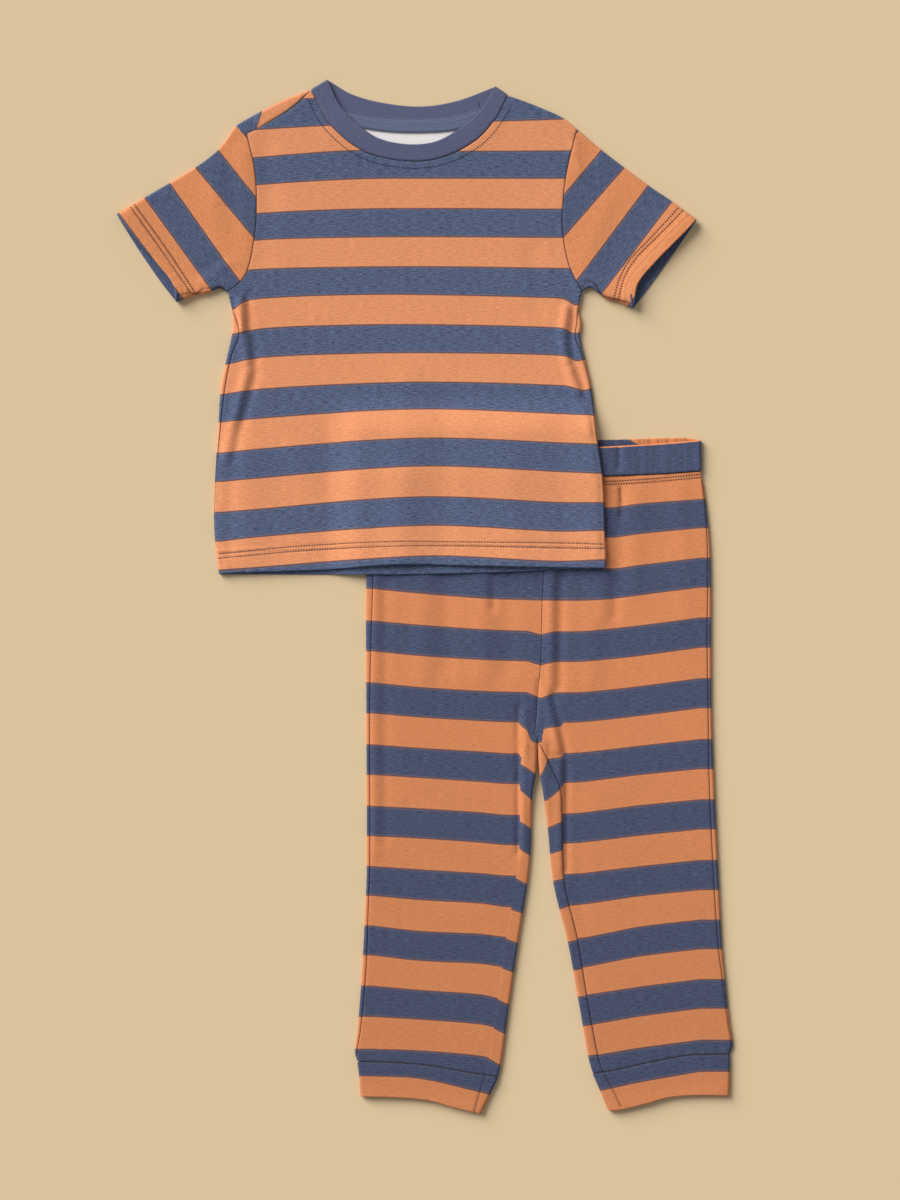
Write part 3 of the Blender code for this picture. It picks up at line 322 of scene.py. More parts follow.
# Seams that lie inside a piece of the upper layer, and rows of stitches.
TOP_INNER_SEAMS = (
    ((-186.4, 219), (-176.8, 221.1), (-170.8, 221.1), (-165.1, 224.8), (-158.6, 225), (-152.2, 226.4),
     (-145.1, 220)),
    ((136, 224.8), (138.4, 228.3), (142.8, 230.8), (147.2, 227.6), (151.2, 221.6), (154.9, 218.4),
     (162.1, 216.5), (173.6, 213.6)),
)
TOP_HEM_ROWS = (
    ((-152.4, 13), (-90, 19), (-12.8, 22.8), (39.2, 22.4), (119.2, 21.6), (153, 20.6)),
    ((-153, 9.4), (-90, 15.2), (-12.8, 19), (39.2, 19.2), (119.2, 17.6), (153.4, 17)),
)
SLEEVE_HEM_ROWS = (
    ((-223.6, 289.2), (-199, 254.5), (-177, 222.6)),
    ((-220.7, 291.4), (-195.6, 256.6), (-173.4, 223)),
    ((213, 288.6), (202.1, 276.6), (188.5, 262.1), (175.8, 249), (167, 233.8), (162.2, 217.4)),
    ((216.9, 286.6), (206, 275.4), (192.6, 262.1), (179.8, 249), (170.4, 233.4), (165.8, 216.6)),
)
TROUSER_INNER_SEAMS = (
    ((51, 505.6), (57.6, 518.4), (64.4, 532.4)),
    ((-44, 507.6), (-48.4, 521.6), (-52.8, 536.6)),
)
# Where the neckband's ends are joined, and the overlocked ends of the underarm seams.
BAND_JOIN = ((53.4, 374.6), (55.4, 368.4))
OVERLOCK_ENDS = (((-187, 221), (-187.6, 215.8)), ((175.6, 219.6), (176.6, 211.6)))
# A pleat at the waist, drawn as a groove whose dark line is painted shadow in its fold.
PLEATS = (((63.2, 38), (63.7, 50), (63.5, 61)),)
WAIST_ROWS = (
    ((-124, 31), (0, 33.6), (50.4, 33.3), (100, 30.2), (127, 27.6)),
    ((-124, 33.4), (0, 36), (50.4, 35.7), (100, 32.6), (127.4, 30)),
)

# How far down the stripes lie past the inner seams of the left and the right leg: from a height on, the
# shift at the seam and how it grows with each millimetre past it.
STRIP_SHIFTS = (
    ((241, 9, 0.6), (262, 8, 0.65), (282, 4.6, 0.9), (305, 4.8, 0.7), (329, 2.4, 0.7),
     (349, 2.1, 0.54), (373, 1.9, 0.34), (397, 1.2, 0.3), (500, 0.6, 0.3)),
    ((241, 4, 1.4), (262, 4, 1.4), (282, 4.8, 0.75), (305, 5.8, 0.42), (329, 5, 0.3),
     (349, 3.5, 0.2), (373, 0.3, 0.3), (397, 1.2, 0.15), (421, 1, 0.1), (500, -0.4, -0.1)),
)
# How far down the front's stripes lie at the crotch: across the left and the right leg, the shift there.
CROTCH_SHIFTS = (
    ((-16.6, 0), (-15.2, 2.7), (-10.6, 5.9), (-8.6, 12.3), (-5.3, 16.3), (-2.1, 16.3)),
    ((-2.1, 16), (1.6, 15.5), (1.9, 9.9), (2.4, 5.4), (6, 4.2), (14, 3.4), (17, 3.2), (18.6, 0)),
)
# How far down the stripes dip beside the centre seam, by the distance down from the waist.
CENTRE_DIPS = ((128, 0), (150, 2.6), (180, 3), (204, 5), (226, 0))


def smooth(value: Points) -> Points:
    """A ramp from 0 to 1 with level ends."""
    value = np.clip(value, 0.0, 1.0)
    return value * value * (3.0 - 2.0 * value)


def bump(distance: Points, reach: float) -> Points:
    """A soft hill of height 1 that falls off with the distance."""
    return np.exp(-(distance / reach) ** 2)


def unit(vectors: Points) -> Points:
    """Vectors of length 1 in the same directions."""
    return vectors / np.linalg.norm(vectors, axis=1)[:, None]


def nearest(plan: Points, starts: Points, ends: Points) -> tuple[Points, Points, Points]:
    """Find the segment nearest to each point.

    Args:
        plan: The points.
        starts: Where each segment starts.
        ends: Where each segment ends.

    Returns:
        Each point's segment, how far along it the nearest place is, and the offset from there.
    """
    runs = ends - starts
    squares = np.maximum((runs * runs).sum(1), 1e-9)
    found = []
    for block in np.array_split(plan, len(plan) // 2000 + 1):
        gaps_x = block[:, :1] - starts[:, 0]
        gaps_y = block[:, 1:] - starts[:, 1]
        part = np.clip((gaps_x * runs[:, 0] + gaps_y * runs[:, 1]) / squares, 0.0, 1.0)
        gaps_x -= part * runs[:, 0]
        gaps_y -= part * runs[:, 1]
        pick = (gaps_x ** 2 + gaps_y ** 2).argmin(1)
        rows = np.arange(len(block))
        offset = np.stack([gaps_x[rows, pick], gaps_y[rows, pick]], axis=1)
        found.append((pick, part[rows, pick], offset))
    return tuple(np.concatenate(column) for column in zip(*found))


class Line:
    """A plan line in millimetres, measured along its length."""

    samples = 16

    def __init__(self, points: Points) -> None:
        """Measure a row of points.

        Args:
            points: The line's points, in order.
        """
        self.points = np.asarray(points, float)
        runs = np.linalg.norm(np.diff(self.points, axis=0), axis=1)
        self.along = np.concatenate([[0.0], np.cumsum(runs)])
        self.length = float(self.along[-1])

    @classmethod
    def through(cls, knots: Points) -> Line:
        """Draw a smooth line.

        Args:
            knots: The points that it passes.

        Returns:
            The line.
        """
        ghosts = np.vstack([2 * knots[0] - knots[1], knots, 2 * knots[-1] - knots[-2]])
        steps = np.linspace(0.0, 1.0, cls.samples, endpoint=False)[:, None]
        spans = [cls.span(ghosts[k:k + 4], steps) for k in range(len(knots) - 1)]
        return cls(np.vstack(spans + [knots[-1:]]))

    @staticmethod
    def span(four: Points, steps: Points) -> Points:
        """Draw the stretch between the middle two of four points, with slopes from their neighbours.

        Args:
            four: The points.
            steps: Fractions between the middle two.

        Returns:
            The points of the stretch.
        """
        before, start, end, after = four
        chord = np.linalg.norm(end - start)
        leave = (end - before) / (np.linalg.norm(start - before) + chord) * chord
        arrive = (after - start) / (np.linalg.norm(after - end) + chord) * chord
        cubic = 2 * start - 2 * end + leave + arrive
        square = 3 * end - 3 * start - 2 * leave - arrive
        return start + steps * (leave + steps * (square + steps * cubic))

    def at(self, fractions: Points) -> Points:
        """The points at fractions of the length."""
        runs = np.asarray(fractions, float) * self.length
        return np.stack([np.interp(runs, self.along, self.points[:, k]) for k in (0, 1)], axis=-1)

    def part(self, first: float, last: float) -> Line:
        """The stretch between two fractions of the length, reversed if the first is larger."""
        count = max(2, int(abs(last - first) * len(self.points)))
        return Line(self.at(np.linspace(first, last, count + 1)))

    def reversed(self) -> Line:
        """The same line from its end to its start."""
        return Line(self.points[::-1])

    def offset(self, distance: float) -> Line:
        """The line that runs a distance to the left of this one."""
        slopes = unit(np.gradient(self.points, axis=0))
        return Line(self.points + distance * np.stack([-slopes[:, 1], slopes[:, 0]], axis=1))

    def distance(self, plan: Points) -> Points:
        """How far each plan point is from the line."""
        return np.linalg.norm(nearest(plan, self.points[:-1], self.points[1:])[2], axis=1)


@dataclass
class Groove:
    """A seam, row of stitches or pleat inside a piece: its line, half width and depth, and how dark its
    line is painted, thread with painted shade.
    """

    line: Line
    reach: float
    depth: float
    dark: float


class Stretch(NamedTuple):
    """A part of a border: the plan edge, the seam beside it if the cloth folds there, its share."""

    edge: Line
    seam: Line | None
    share: float


@dataclass
class Border:
    """One edge of a panel, in stretches."""

    stretches: Sequence[Stretch]
    kind: Edge
    # A seam's darkness is its dark thread with painted shade in the seam.
    dark: float = 0.62  # how dark its seam looks, or 0 for one that doesn't show
    gap: float = 0.24  # the gap at its seam

    @classmethod
    def of(cls, *lines: Line | Stretch, kind: Edge = Edge.SEAM, **looks: float) -> Border:
        """A border of stretches, where a bare line is a stretch of share 1 that doesn't fold."""
        rows = [row if isinstance(row, Stretch) else Stretch(row, None, 1.0) for row in lines]
        return cls(rows, kind, **looks)

    def place(self, fractions: Points) -> tuple[Points, Points, Points]:
        """Look up the border.

        Args:
            fractions: Places along it, from 0 to 1.

        Returns:
            The plan edges, the seams, and whether the cloth folds there.
        """
        fractions = np.asarray(fractions, float)
        stops = np.concatenate([[0.0], np.cumsum([row.share for row in self.stretches])])
        stops /= stops[-1]
        index = np.searchsorted(stops[1:-1], fractions - 1e-9)
        edges, seams = np.zeros((len(fractions), 2)), np.zeros((len(fractions), 2))
        folded = np.zeros(len(fractions), bool)
        for k, row in enumerate(self.stretches):
            here = index == k
            part = (fractions[here] - stops[k]) / (stops[k + 1] - stops[k])
            edges[here] = row.edge.at(part)
            seams[here] = edges[here] if row.seam is None else row.seam.at(part)
            folded[here] = row.seam is not None
        return edges, seams, folded


def crease_height(rows: Sequence[Crease], plan: Points) -> Points:
    """Work out what soft folds add.

    Args:
        rows: The folds.
        plan: Plan points.

    Returns:
        The height added at each point.
    """
    height = np.zeros(len(plan))
    for x0, y0, x1, y1, reach, top in rows:
        start = np.array([x0, y0])
        run = np.array([x1, y1]) - start
        part = np.clip((plan - start) @ run / (run @ run), 0.0, 1.0)
        away = np.linalg.norm(plan - start - part[:, None] * run, axis=1)
        height += top * bump(away, reach)
    return height


def arc_over(depth: Points, radius: Points) -> Points:
    """How far round a fold a point is whose plan distance from the edge is the depth."""
    inner = radius * np.arccos(np.clip(1.0 - depth / radius, -1.0, 1.0))
    return np.where(depth >= radius, depth + (math.pi / 2 - 1) * radius, inner)


def depth_of(arc: Points, radius: Points) -> Points:
    """Turn a way round a fold into a plan distance.

    Args:
        arc: How far round the fold a point is.
        radius: The fold's radius.

    Returns:
        How far in from the plan edge the point is.
    """
    quarter = radius * math.pi / 2
    inner = radius * (1.0 - np.cos(np.clip(arc / radius, -math.pi, math.pi)))
    return np.where(np.abs(arc) >= quarter, np.abs(arc) - quarter + radius, inner)


class Outline:
    """The folds that bound a laid garment: chains of lines with the cloth to the left of each."""

    step = 2.0

    def __init__(self, *chains: Sequence[Line]) -> None:
        """Measure the chains.

        Args:
            chains: Lines that follow each other, for each unbroken run of folds.
        """
        rows = []
        for chain in chains:
            points = np.vstack([self.walk(line) for line in chain] + [chain[-1].at([1.0])])
            runs = unit(np.diff(points, axis=0))
            turns = np.vstack([runs[:1], runs[:-1] + runs[1:], runs[-1:]])
            normals = unit(np.stack([-turns[:, 1], turns[:, 0]], axis=1))
            rows.append((points[:-1], points[1:], normals[:-1], normals[1:]))
        self.starts, self.ends, self.start_normals, self.end_normals = map(np.vstack, zip(*rows))

    def walk(self, line: Line) -> Points:
        """Evenly spaced points along a line, without its last."""
        count = max(3, int(line.length / self.step))
        return line.at(np.arange(count) / count)

    def near(self, plan: Points) -> tuple[Points, Points]:
        """Find the nearest fold.

        Args:
            plan: Plan points.

        Returns:
            Each point's distance in from the fold, and the direction inwards there.
        """
        pick, part, offset = nearest(plan, self.starts, self.ends)
        part = part[:, None]
        inward = unit((1 - part) * self.start_normals[pick] + part * self.end_normals[pick])
        sign = np.where((offset * inward).sum(1) < 0, -1.0, 1.0)
        return np.linalg.norm(offset, axis=1) * sign, inward


@dataclass
class Lay:
    """How the two layers of a laid garment lie."""

    outline: Outline
    base: Callable[[Points], Points]  # the height that it rests on, at plan points
    loft: float  # half the height between the middles of its layers
    creases: Sequence[Crease] = ()  # soft folds of the upper layer
    mouths: Sequence[Crease] = ()  # where the layers stand further apart
    grooves: Sequence[Groove] = ()  # seams inside the pieces of the upper layer
    line_reach: float = 0.7  # the half width of the dark line in a groove
    crease_fade: float = 3.0  # over how many radii a soft fold dies away at an edge

    def radius(self, plan: Points) -> Points:
        """Half the height between the layers' middles, which is also the radius of a fold."""
        return self.loft + crease_height(self.mouths, plan)

    def level(self, plan: Points, over: Points, wall: float) -> Points:
        """Work out how high a layer lies away from the folds.

        Args:
            plan: Plan points.
            over: Whether each is on the upper layer.
            wall: The cloth's thickness.

        Returns:
            The height of the cloth's middle.
        """
        lower = self.base(plan) + wall / 2
        upper = lower + 2 * self.radius(plan) + crease_height(self.creases, plan)
        return np.where(over, upper, lower)

    def raise_up(self, plan: Points, arcs: Points, layer: Layer, wall: float) -> tuple[Points, Points]:
        """Set plan points at their heights.

        Args:
            plan: Plan points.
            arcs: How far round the fold each is, or nan where its place in plan says it.
            layer: The layer of those whose place in plan says it.
            wall: The cloth's thickness.

        Returns:
            The cloth's middle points and its outward directions.
        """
        depth, inward = self.outline.near(plan)
        radius = self.radius(plan)
        own = layer.value * arc_over(np.maximum(depth, 0.0), radius)
        arcs = np.where(np.isnan(arcs), own, arcs)
        over = arcs > 0
        turn = np.clip(arcs / radius, -math.pi / 2, math.pi / 2)
        fade = smooth((depth - radius) / (self.crease_fade * radius))
        creased = crease_height(self.creases, plan) * fade * over
        height = self.base(plan) + wall / 2 + radius * (1 + np.sin(turn)) + creased
        slopes = [self.level(plan + shift, over, wall) - self.level(plan - shift, over, wall)
                  for shift in ((0.5, 0.0), (0.0, 0.5))]
        out = np.column_stack([-np.cos(turn)[:, None] * inward, np.sin(turn)])
        out[:, :2] -= np.stack(slopes, axis=1) * np.sin(turn)[:, None]
        return np.column_stack([plan, height]), unit(out)

    def seam_marks(self, plan: Points) -> tuple[Points, Points]:
        """Work out the seams inside the pieces.

        Args:
            plan: Plan points.

        Returns:
            How deep the grooves are at each point, and how dark.
        """
        depth, dark = np.zeros(len(plan)), np.zeros(len(plan))
        for groove in self.grooves:
            away = groove.line.distance(plan)
            depth += groove.depth * bump(away, groove.reach)
            dark = np.maximum(dark, groove.dark * bump(away, self.line_reach))
        return depth, dark

    def darkness(self, grid: Grid) -> Points:
        """How dark the grooves are painted on the faces of a panel that look up: thread with painted shade.
        """
        dark = self.seam_marks(grid.plan.reshape(-1, 2))[1].reshape(grid.across.shape)
        return dark * (grid.outs[..., 2] > 0)

    def skin(self, line: Line, wall: float, lift: float, layer: Layer = Layer.UPPER,
             step: float = 2.0) -> Points:
        """Points along a plan line, lifted off a layer's outer face.

        Args:
            line: The plan line.
            wall: The cloth's thickness.
            lift: The height over the outer face.
            layer: The layer.
            step: The distance between the points.

        Returns:
            The points in space.
        """
        plan = line.at(np.linspace(0.0, 1.0, max(3, int(line.length / step))))
        middle, outs = self.raise_up(plan, np.full(len(plan), np.nan), layer, wall)
        return middle + outs * (wall / 2 + lift)


@dataclass
class Grid:
    """A panel as rows of points: in plan, in the cloth's middle, and the outward directions there."""

    plan: Points
    middle: Points
    outs: Points
    ends: Points  # for the bottom, top, left and right border the distance from it over the cloth
    across: Points
    along: Points
    borders: Sequence[Border]
    closed: bool = False  # whether the rows run round a tube

    def with_lower(self, lower: Grid) -> Grid:
        """Close a tube.

        Args:
            lower: Its lower half, where this is the upper one.

        Returns:
            The tube.
        """
        rows = [np.concatenate([getattr(self, name), getattr(lower, name)[:, -2:0:-1]], axis=1)
                for name in ("plan", "middle", "outs", "ends", "across", "along")]
        return Grid(*rows, self.borders, closed=True)

    def away(self, *kinds: Edge) -> Points:
        """The distance over the cloth from the nearest border of some kinds, but for hidden seams."""
        here = [self.ends[..., k] for k, border in enumerate(self.borders)
                if border.kind in kinds and border.dark]
        return np.min(here, axis=0) if here else np.full(self.across.shape, FAR)

    def shade(self) -> Points:
        """How dark the seams at the borders are painted: dark thread with painted shade in the seam."""
        rows = [border.dark * bump(self.ends[..., k], 0.55) * (border.kind is Edge.SEAM)
                for k, border in enumerate(self.borders)]
        return np.max(rows, axis=0)


class CloseRows(NamedTuple):
    """The close rows beside a border, for each place along it."""

    insets: Points  # plan distances in from the panel's plan end
    arcs: Points  # how far round the fold, or nan
    spots: Points  # the plan points where they are set, or nan
    cloth: Points  # distances over the cloth from the rim


# How many close rows lie beside each kind of border.
CLOSE_ROWS = {Edge.SEAM: 12, Edge.FREE: 12, Edge.HEM: 34, Edge.JOIN: 9}


@dataclass
class Strip:
    """The cloth beside one border of a panel."""

    lay: Lay
    border: Border
    layer: Layer
    wraps: bool  # whether the panel runs round the fold to the seam on the other layer
    reach: float = 6.0  # how far in the close rows go
    hem_reach: float = 20.0  # how far in they go at a hem
    rim_step: float = 0.22  # the distance between the rows at a rim
    growth: float = 0.4  # how that distance grows with each millimetre inwards
    hem_step: float = 0.7  # the widest distance at a hem
    wide_step: float = 3.0  # the widest distance elsewhere
    past_fold: float = 1.35  # how far round a fold the rows go, in quarter turns

    def edge(self, fractions: Points) -> Points:
        """Where the panel's plan ends: at the seam, or at the fold if the panel wraps round it."""
        edges, seams, folded = self.border.place(fractions)
        return np.where((folded & (not self.wraps))[:, None], seams, edges)

    def spread(self, start: float, finish: float, radius: float) -> Points:
        """Spread the close rows, closest together at the rim and round the fold.

        Args:
            start: How far round the fold the rim is.
            finish: How far round it the last row is.
            radius: The fold's radius.

        Returns:
            How far round the fold each row is.
        """
        fine = np.linspace(start, finish, 200)
        near_rim = self.rim_step + self.growth * np.abs(fine - start)
        if self.border.kind is Edge.HEM:
            spacing = np.minimum(near_rim, self.hem_step)
        else:
            past = np.maximum(np.abs(fine) - radius * 1.6, 0.0)
            spacing = np.minimum(self.wide_step, radius * 0.3 + 0.7 * past)
            if self.border.kind is not Edge.JOIN:
                spacing = np.minimum(spacing, near_rim)
        passed = np.concatenate([[0.0], np.cumsum(1.0 / spacing[1:])])
        return np.interp(np.linspace(0.0, passed[-1], CLOSE_ROWS[self.border.kind]), passed, fine)

    def rows(self, fractions: Points) -> CloseRows:
        """Work out the close rows.

        Args:
            fractions: Places along the border.

        Returns:
            The rows at those places.
        """
        edges, seams, folded = self.border.place(fractions)
        radii = self.lay.radius(edges)
        depths = np.linalg.norm(seams - edges, axis=1)
        gap = self.border.gap / 2 if self.border.kind is Edge.SEAM else 0.0
        reach = self.hem_reach if self.border.kind is Edge.HEM else self.reach
        shape = (len(edges), CLOSE_ROWS[self.border.kind])
        insets, arcs, cloth = np.zeros(shape), np.full(shape, np.nan), np.zeros(shape)
        spots = np.full((*shape, 2), np.nan)
        off = 4.0  # moves flat rows off a fold, so that they aren't drawn closer together there
        flat = self.spread(gap + off, gap + off + reach, 1.0) - off
        for i, (radius, depth) in enumerate(zip(radii, depths)):
            start = float(arc_over(depth, radius))
            turn = self.past_fold * radius * math.pi / 2
            if not folded[i]:
                insets[i] = cloth[i] = flat
            elif self.wraps:
                arcs[i] = self.spread(start - gap, -turn, radius)
                insets[i] = depth_of(arcs[i], radius)
                cloth[i] = start - arcs[i]
                if depth > 0:
                    over = arcs[i] > 0
                    spots[i, over] = edges[i] + (seams[i] - edges[i]) * (insets[i][over, None] / depth)
            else:
                arc = self.spread(start + gap, start + gap + turn + 2.0, radius)
                arcs[i] = self.layer.value * arc
                insets[i] = depth_of(arc, radius) - depth
                cloth[i] = arc - start
        return CloseRows(insets, arcs, spots, cloth)


class Cells(NamedTuple):
    """Points of a panel before they are raised."""

    across: Points
    along: Points
    plan: Points
    arcs: Points  # how far round a fold, or nan
    ends: Points  # distances from the four borders


@dataclass
class Panel:
    """A piece of cloth between its bottom, top, left and right borders."""

    lay: Lay
    layer: Layer
    borders: tuple[Border, Border, Border, Border]
    wall: float
    wraps: bool = False
    spacing: float = 3.0  # the distance between its points away from its borders
    dip: float = 0.35  # how far the cloth is drawn in at a seam
    reach: float = 6.0
    like: Panel | None = None  # the panel whose numbers of rows and columns it has too, if any

    def __post_init__(self) -> None:
        """Set up the strips beside the borders."""
        self.strips = [Strip(self.lay, border, self.layer, self.wraps, self.reach)
                       for border in self.borders]

    def count(self, first: int) -> int:
        """Count the steps that cover the widest distance between a border and the next one.

        Args:
            first: The first border's number.

        Returns:
            The steps.
        """
        if self.like:
            return self.like.count(first)
        ends = np.linspace(0.0, 1.0, 5)
        gaps = self.strips[first].edge(ends) - self.strips[first + 1].edge(ends)
        return max(4, round(np.linalg.norm(gaps, axis=1).max() / self.spacing))

    def spot(self, u: Points, v: Points) -> Points:
        """Place points between the four borders.

        Args:
            u: Fractions across.
            v: Fractions along.

        Returns:
            The plan points.
        """
        bottom, top, left, right = self.strips
        flat_u, flat_v = u.ravel(), v.ravel()
        a, b = flat_u[:, None], flat_v[:, None]
        west, east = left.edge(np.array([0.0, 1.0])), right.edge(np.array([0.0, 1.0]))
        corners = ((1 - a) * (1 - b) * west[0] + (1 - a) * b * west[1]
                   + a * (1 - b) * east[0] + a * b * east[1])
        plan = ((1 - b) * bottom.edge(flat_u) + b * top.edge(flat_u)
                + (1 - a) * left.edge(flat_v) + a * right.edge(flat_v) - corners)
        return plan.reshape(*u.shape, 2)

    def lines(self, left_along: Points, right_along: Points) -> tuple[Points, Points, Points, Points]:
        """Work out the columns of rows whose ends lie at fractions of the left and right borders.

        Args:
            left_along: Where each row meets the left border.
            right_along: Where each row meets the right border.

        Returns:
            Fractions across, arcs, set plan points, and distances from the four borders.
        """
        left, right = self.strips[2:]
        width = np.linalg.norm(right.edge(right_along) - left.edge(left_along), axis=1)[:, None]
        west, east = left.rows(left_along), right.rows(right_along)
        first, last = west.insets / width, 1.0 - east.insets[:, ::-1] / width
        count = self.count(2)
        inner = first[:, -1:] + (last[:, :1] - first[:, -1:]) * (np.arange(1, count) / count)
        blank = np.full(inner.shape, np.nan)
        u = np.concatenate([first, inner, last], axis=1)
        arcs = np.concatenate([west.arcs, blank, east.arcs[:, ::-1]], axis=1)
        spots = np.concatenate([west.spots, np.stack([blank, blank], axis=2), east.spots[:, ::-1]], axis=1)
        ends = np.full((*u.shape, 4), FAR)
        ends[:, :west.insets.shape[1], 2] = west.cloth
        ends[:, -east.insets.shape[1]:, 3] = east.cloth[:, ::-1]
        return u, arcs, spots, ends

    def close(self, which: int) -> Cells:
        """Work out the close rows at one end.

        Args:
            which: 0 for the bottom and 1 for the top.

        Returns:
            Their points.
        """
        end = np.array([float(which)])
        u, side_arcs, spots, ends = self.lines(end, end)
        inside = u[0]
        rows = self.strips[which].rows(inside)
        height = np.linalg.norm(self.strips[1].edge(inside) - self.strips[0].edge(inside), axis=1)
        insets = rows.insets.T
        v = insets / height if which == 0 else 1.0 - insets / height
        us = np.repeat(u, len(v), axis=0)
        plan = self.spot(us, v)
        held = spots + plan - self.spot(us, np.full(v.shape, float(which)))
        own = rows.arcs.T
        plan = np.where(np.isnan(held) | ~np.isnan(own)[..., None], plan, held)
        arcs = np.where(np.isnan(own), side_arcs, own)
        ends = np.repeat(ends, len(v), axis=0)
        ends[..., which] = rows.cloth.T
        order = slice(None) if which == 0 else slice(None, None, -1)
        return Cells(us, v[order], plan[order], arcs[order], ends[order])

    def between(self, bottom: Cells, top: Cells) -> Cells:
        """Work out the rows between the close ones.

        Args:
            bottom: The close rows at the bottom.
            top: The close rows at the top.

        Returns:
            The points of the rows between them.
        """
        first, last = bottom.along[-1], top.along[0]
        count = self.count(0)
        share = (np.arange(1, count) / count)[:, None]
        sides = first[[0, -1]] + (last - first)[[0, -1]] * share
        u, arcs, spots, ends = self.lines(sides[:, 0], sides[:, 1])
        low, high = np.argsort(bottom.across[-1]), np.argsort(top.across[0])
        start = np.interp(u, bottom.across[-1][low], first[low])
        v = start + (np.interp(u, top.across[0][high], last[high]) - start) * share
        plan = self.spot(u, v)
        half = np.arange(u.shape[1]) < u.shape[1] // 2
        held = spots + plan - self.spot(u, np.where(half, v[:, :1], v[:, -1:]))
        return Cells(u, v, np.where(np.isnan(held), plan, held), arcs, ends)

    def grid(self) -> Grid:
        """The panel's points, directions and distances."""
        bottom, top = self.close(0), self.close(1)
        blocks = (bottom, self.between(bottom, top), top)
        across, along, plan, arcs, ends = [np.concatenate(parts) for parts in zip(*blocks)]
        flat = plan.reshape(-1, 2)
        middle, outs = self.lay.raise_up(flat, arcs.ravel(), self.layer, self.wall)
        shape = across.shape
        made = Grid(plan, middle.reshape(*shape, 3), outs.reshape(*shape, 3), ends, across, along,
                    self.borders)
        drawn = self.dip * bump(made.away(Edge.SEAM), 1.0)
        drawn += (self.lay.seam_marks(flat)[0] * (outs[:, 2] > 0)).reshape(shape)
        made.middle = made.middle - made.outs * drawn[..., None]
        return made


class Stripes:
    """Stripes across a garment: even ones are orange and odd ones blue."""

    def __init__(self, stations: Sequence[float], rows: Pairs) -> None:
        """Set up the stripes.

        Args:
            stations: Places across the garment.
            rows: For each stripe, where it starts at each station.
        """
        self.stations = np.linspace(stations[0], stations[-1], 97)
        curves = [Line.through(np.column_stack([stations, row])).points.T for row in rows]
        self.rows = np.array([np.interp(self.stations, *curve) for curve in curves])
        self.rising = self.rows[1, 0] > self.rows[0, 0]

    def number(self, local: Points, first: float = 0.0) -> Points:
        """Number the stripes.

        Args:
            local: Points of the garment.
            first: The number of the stripe that the first row starts.

        Returns:
            The number of the stripe at each point, and as its decimals how far through it the point is.
        """
        shape = local.shape[:-1]
        x, y = local[..., 0].ravel(), local[..., 1].ravel()
        spot = np.clip(np.interp(x, self.stations, np.arange(len(self.stations))), 0, None)
        low = np.minimum(spot.astype(int), len(self.stations) - 2)
        starts = self.rows[:, low] + (self.rows[:, low + 1] - self.rows[:, low]) * (spot - low)
        if not self.rising:
            starts, y = -starts, -y
        index = np.clip((starts <= y).sum(0) - 1, 0, len(self.rows) - 2)
        pick = np.arange(len(y))
        begin, end = starts[index, pick], starts[index + 1, pick]
        return (first + index + (y - begin) / (end - begin)).reshape(shape)


class Value:
    """A number or colour in a shader that takes part in sums."""

    def __init__(self, shader: Shader, socket: bpy.types.NodeSocket | float) -> None:
        """Wrap a socket or a number of a shader."""
        self.shader, self.socket = shader, socket

    def math(self, operation: str, *others: Value | float) -> Value:
        """The result of a maths node on this value and others."""
        return self.shader.add("Math", {"operation": operation}, self, *others)[0]

    def __add__(self, other: Value | float) -> Value:
        """This value plus another, on either side."""
        return self.math("ADD", other)

    def __sub__(self, other: Value | float) -> Value:
        """This value less another."""
        return self.math("SUBTRACT", other)

    def __rsub__(self, other: float) -> Value:
        """A number less this value."""
        return Value(self.shader, other).math("SUBTRACT", self)

    def __mul__(self, other: Value | float) -> Value:
        """This value times another, on either side."""
        return self.math("MULTIPLY", other)

    __radd__, __rmul__ = __add__, __mul__

    def ramp(self, low: float, high: float) -> Value:
        """A soft ramp from 0 where this is low to 1 where it is high."""
        settings = {"interpolation_type": "SMOOTHSTEP"}
        return self.shader.add("MapRange", settings, self, low, high, 0.0, 1.0)[0]


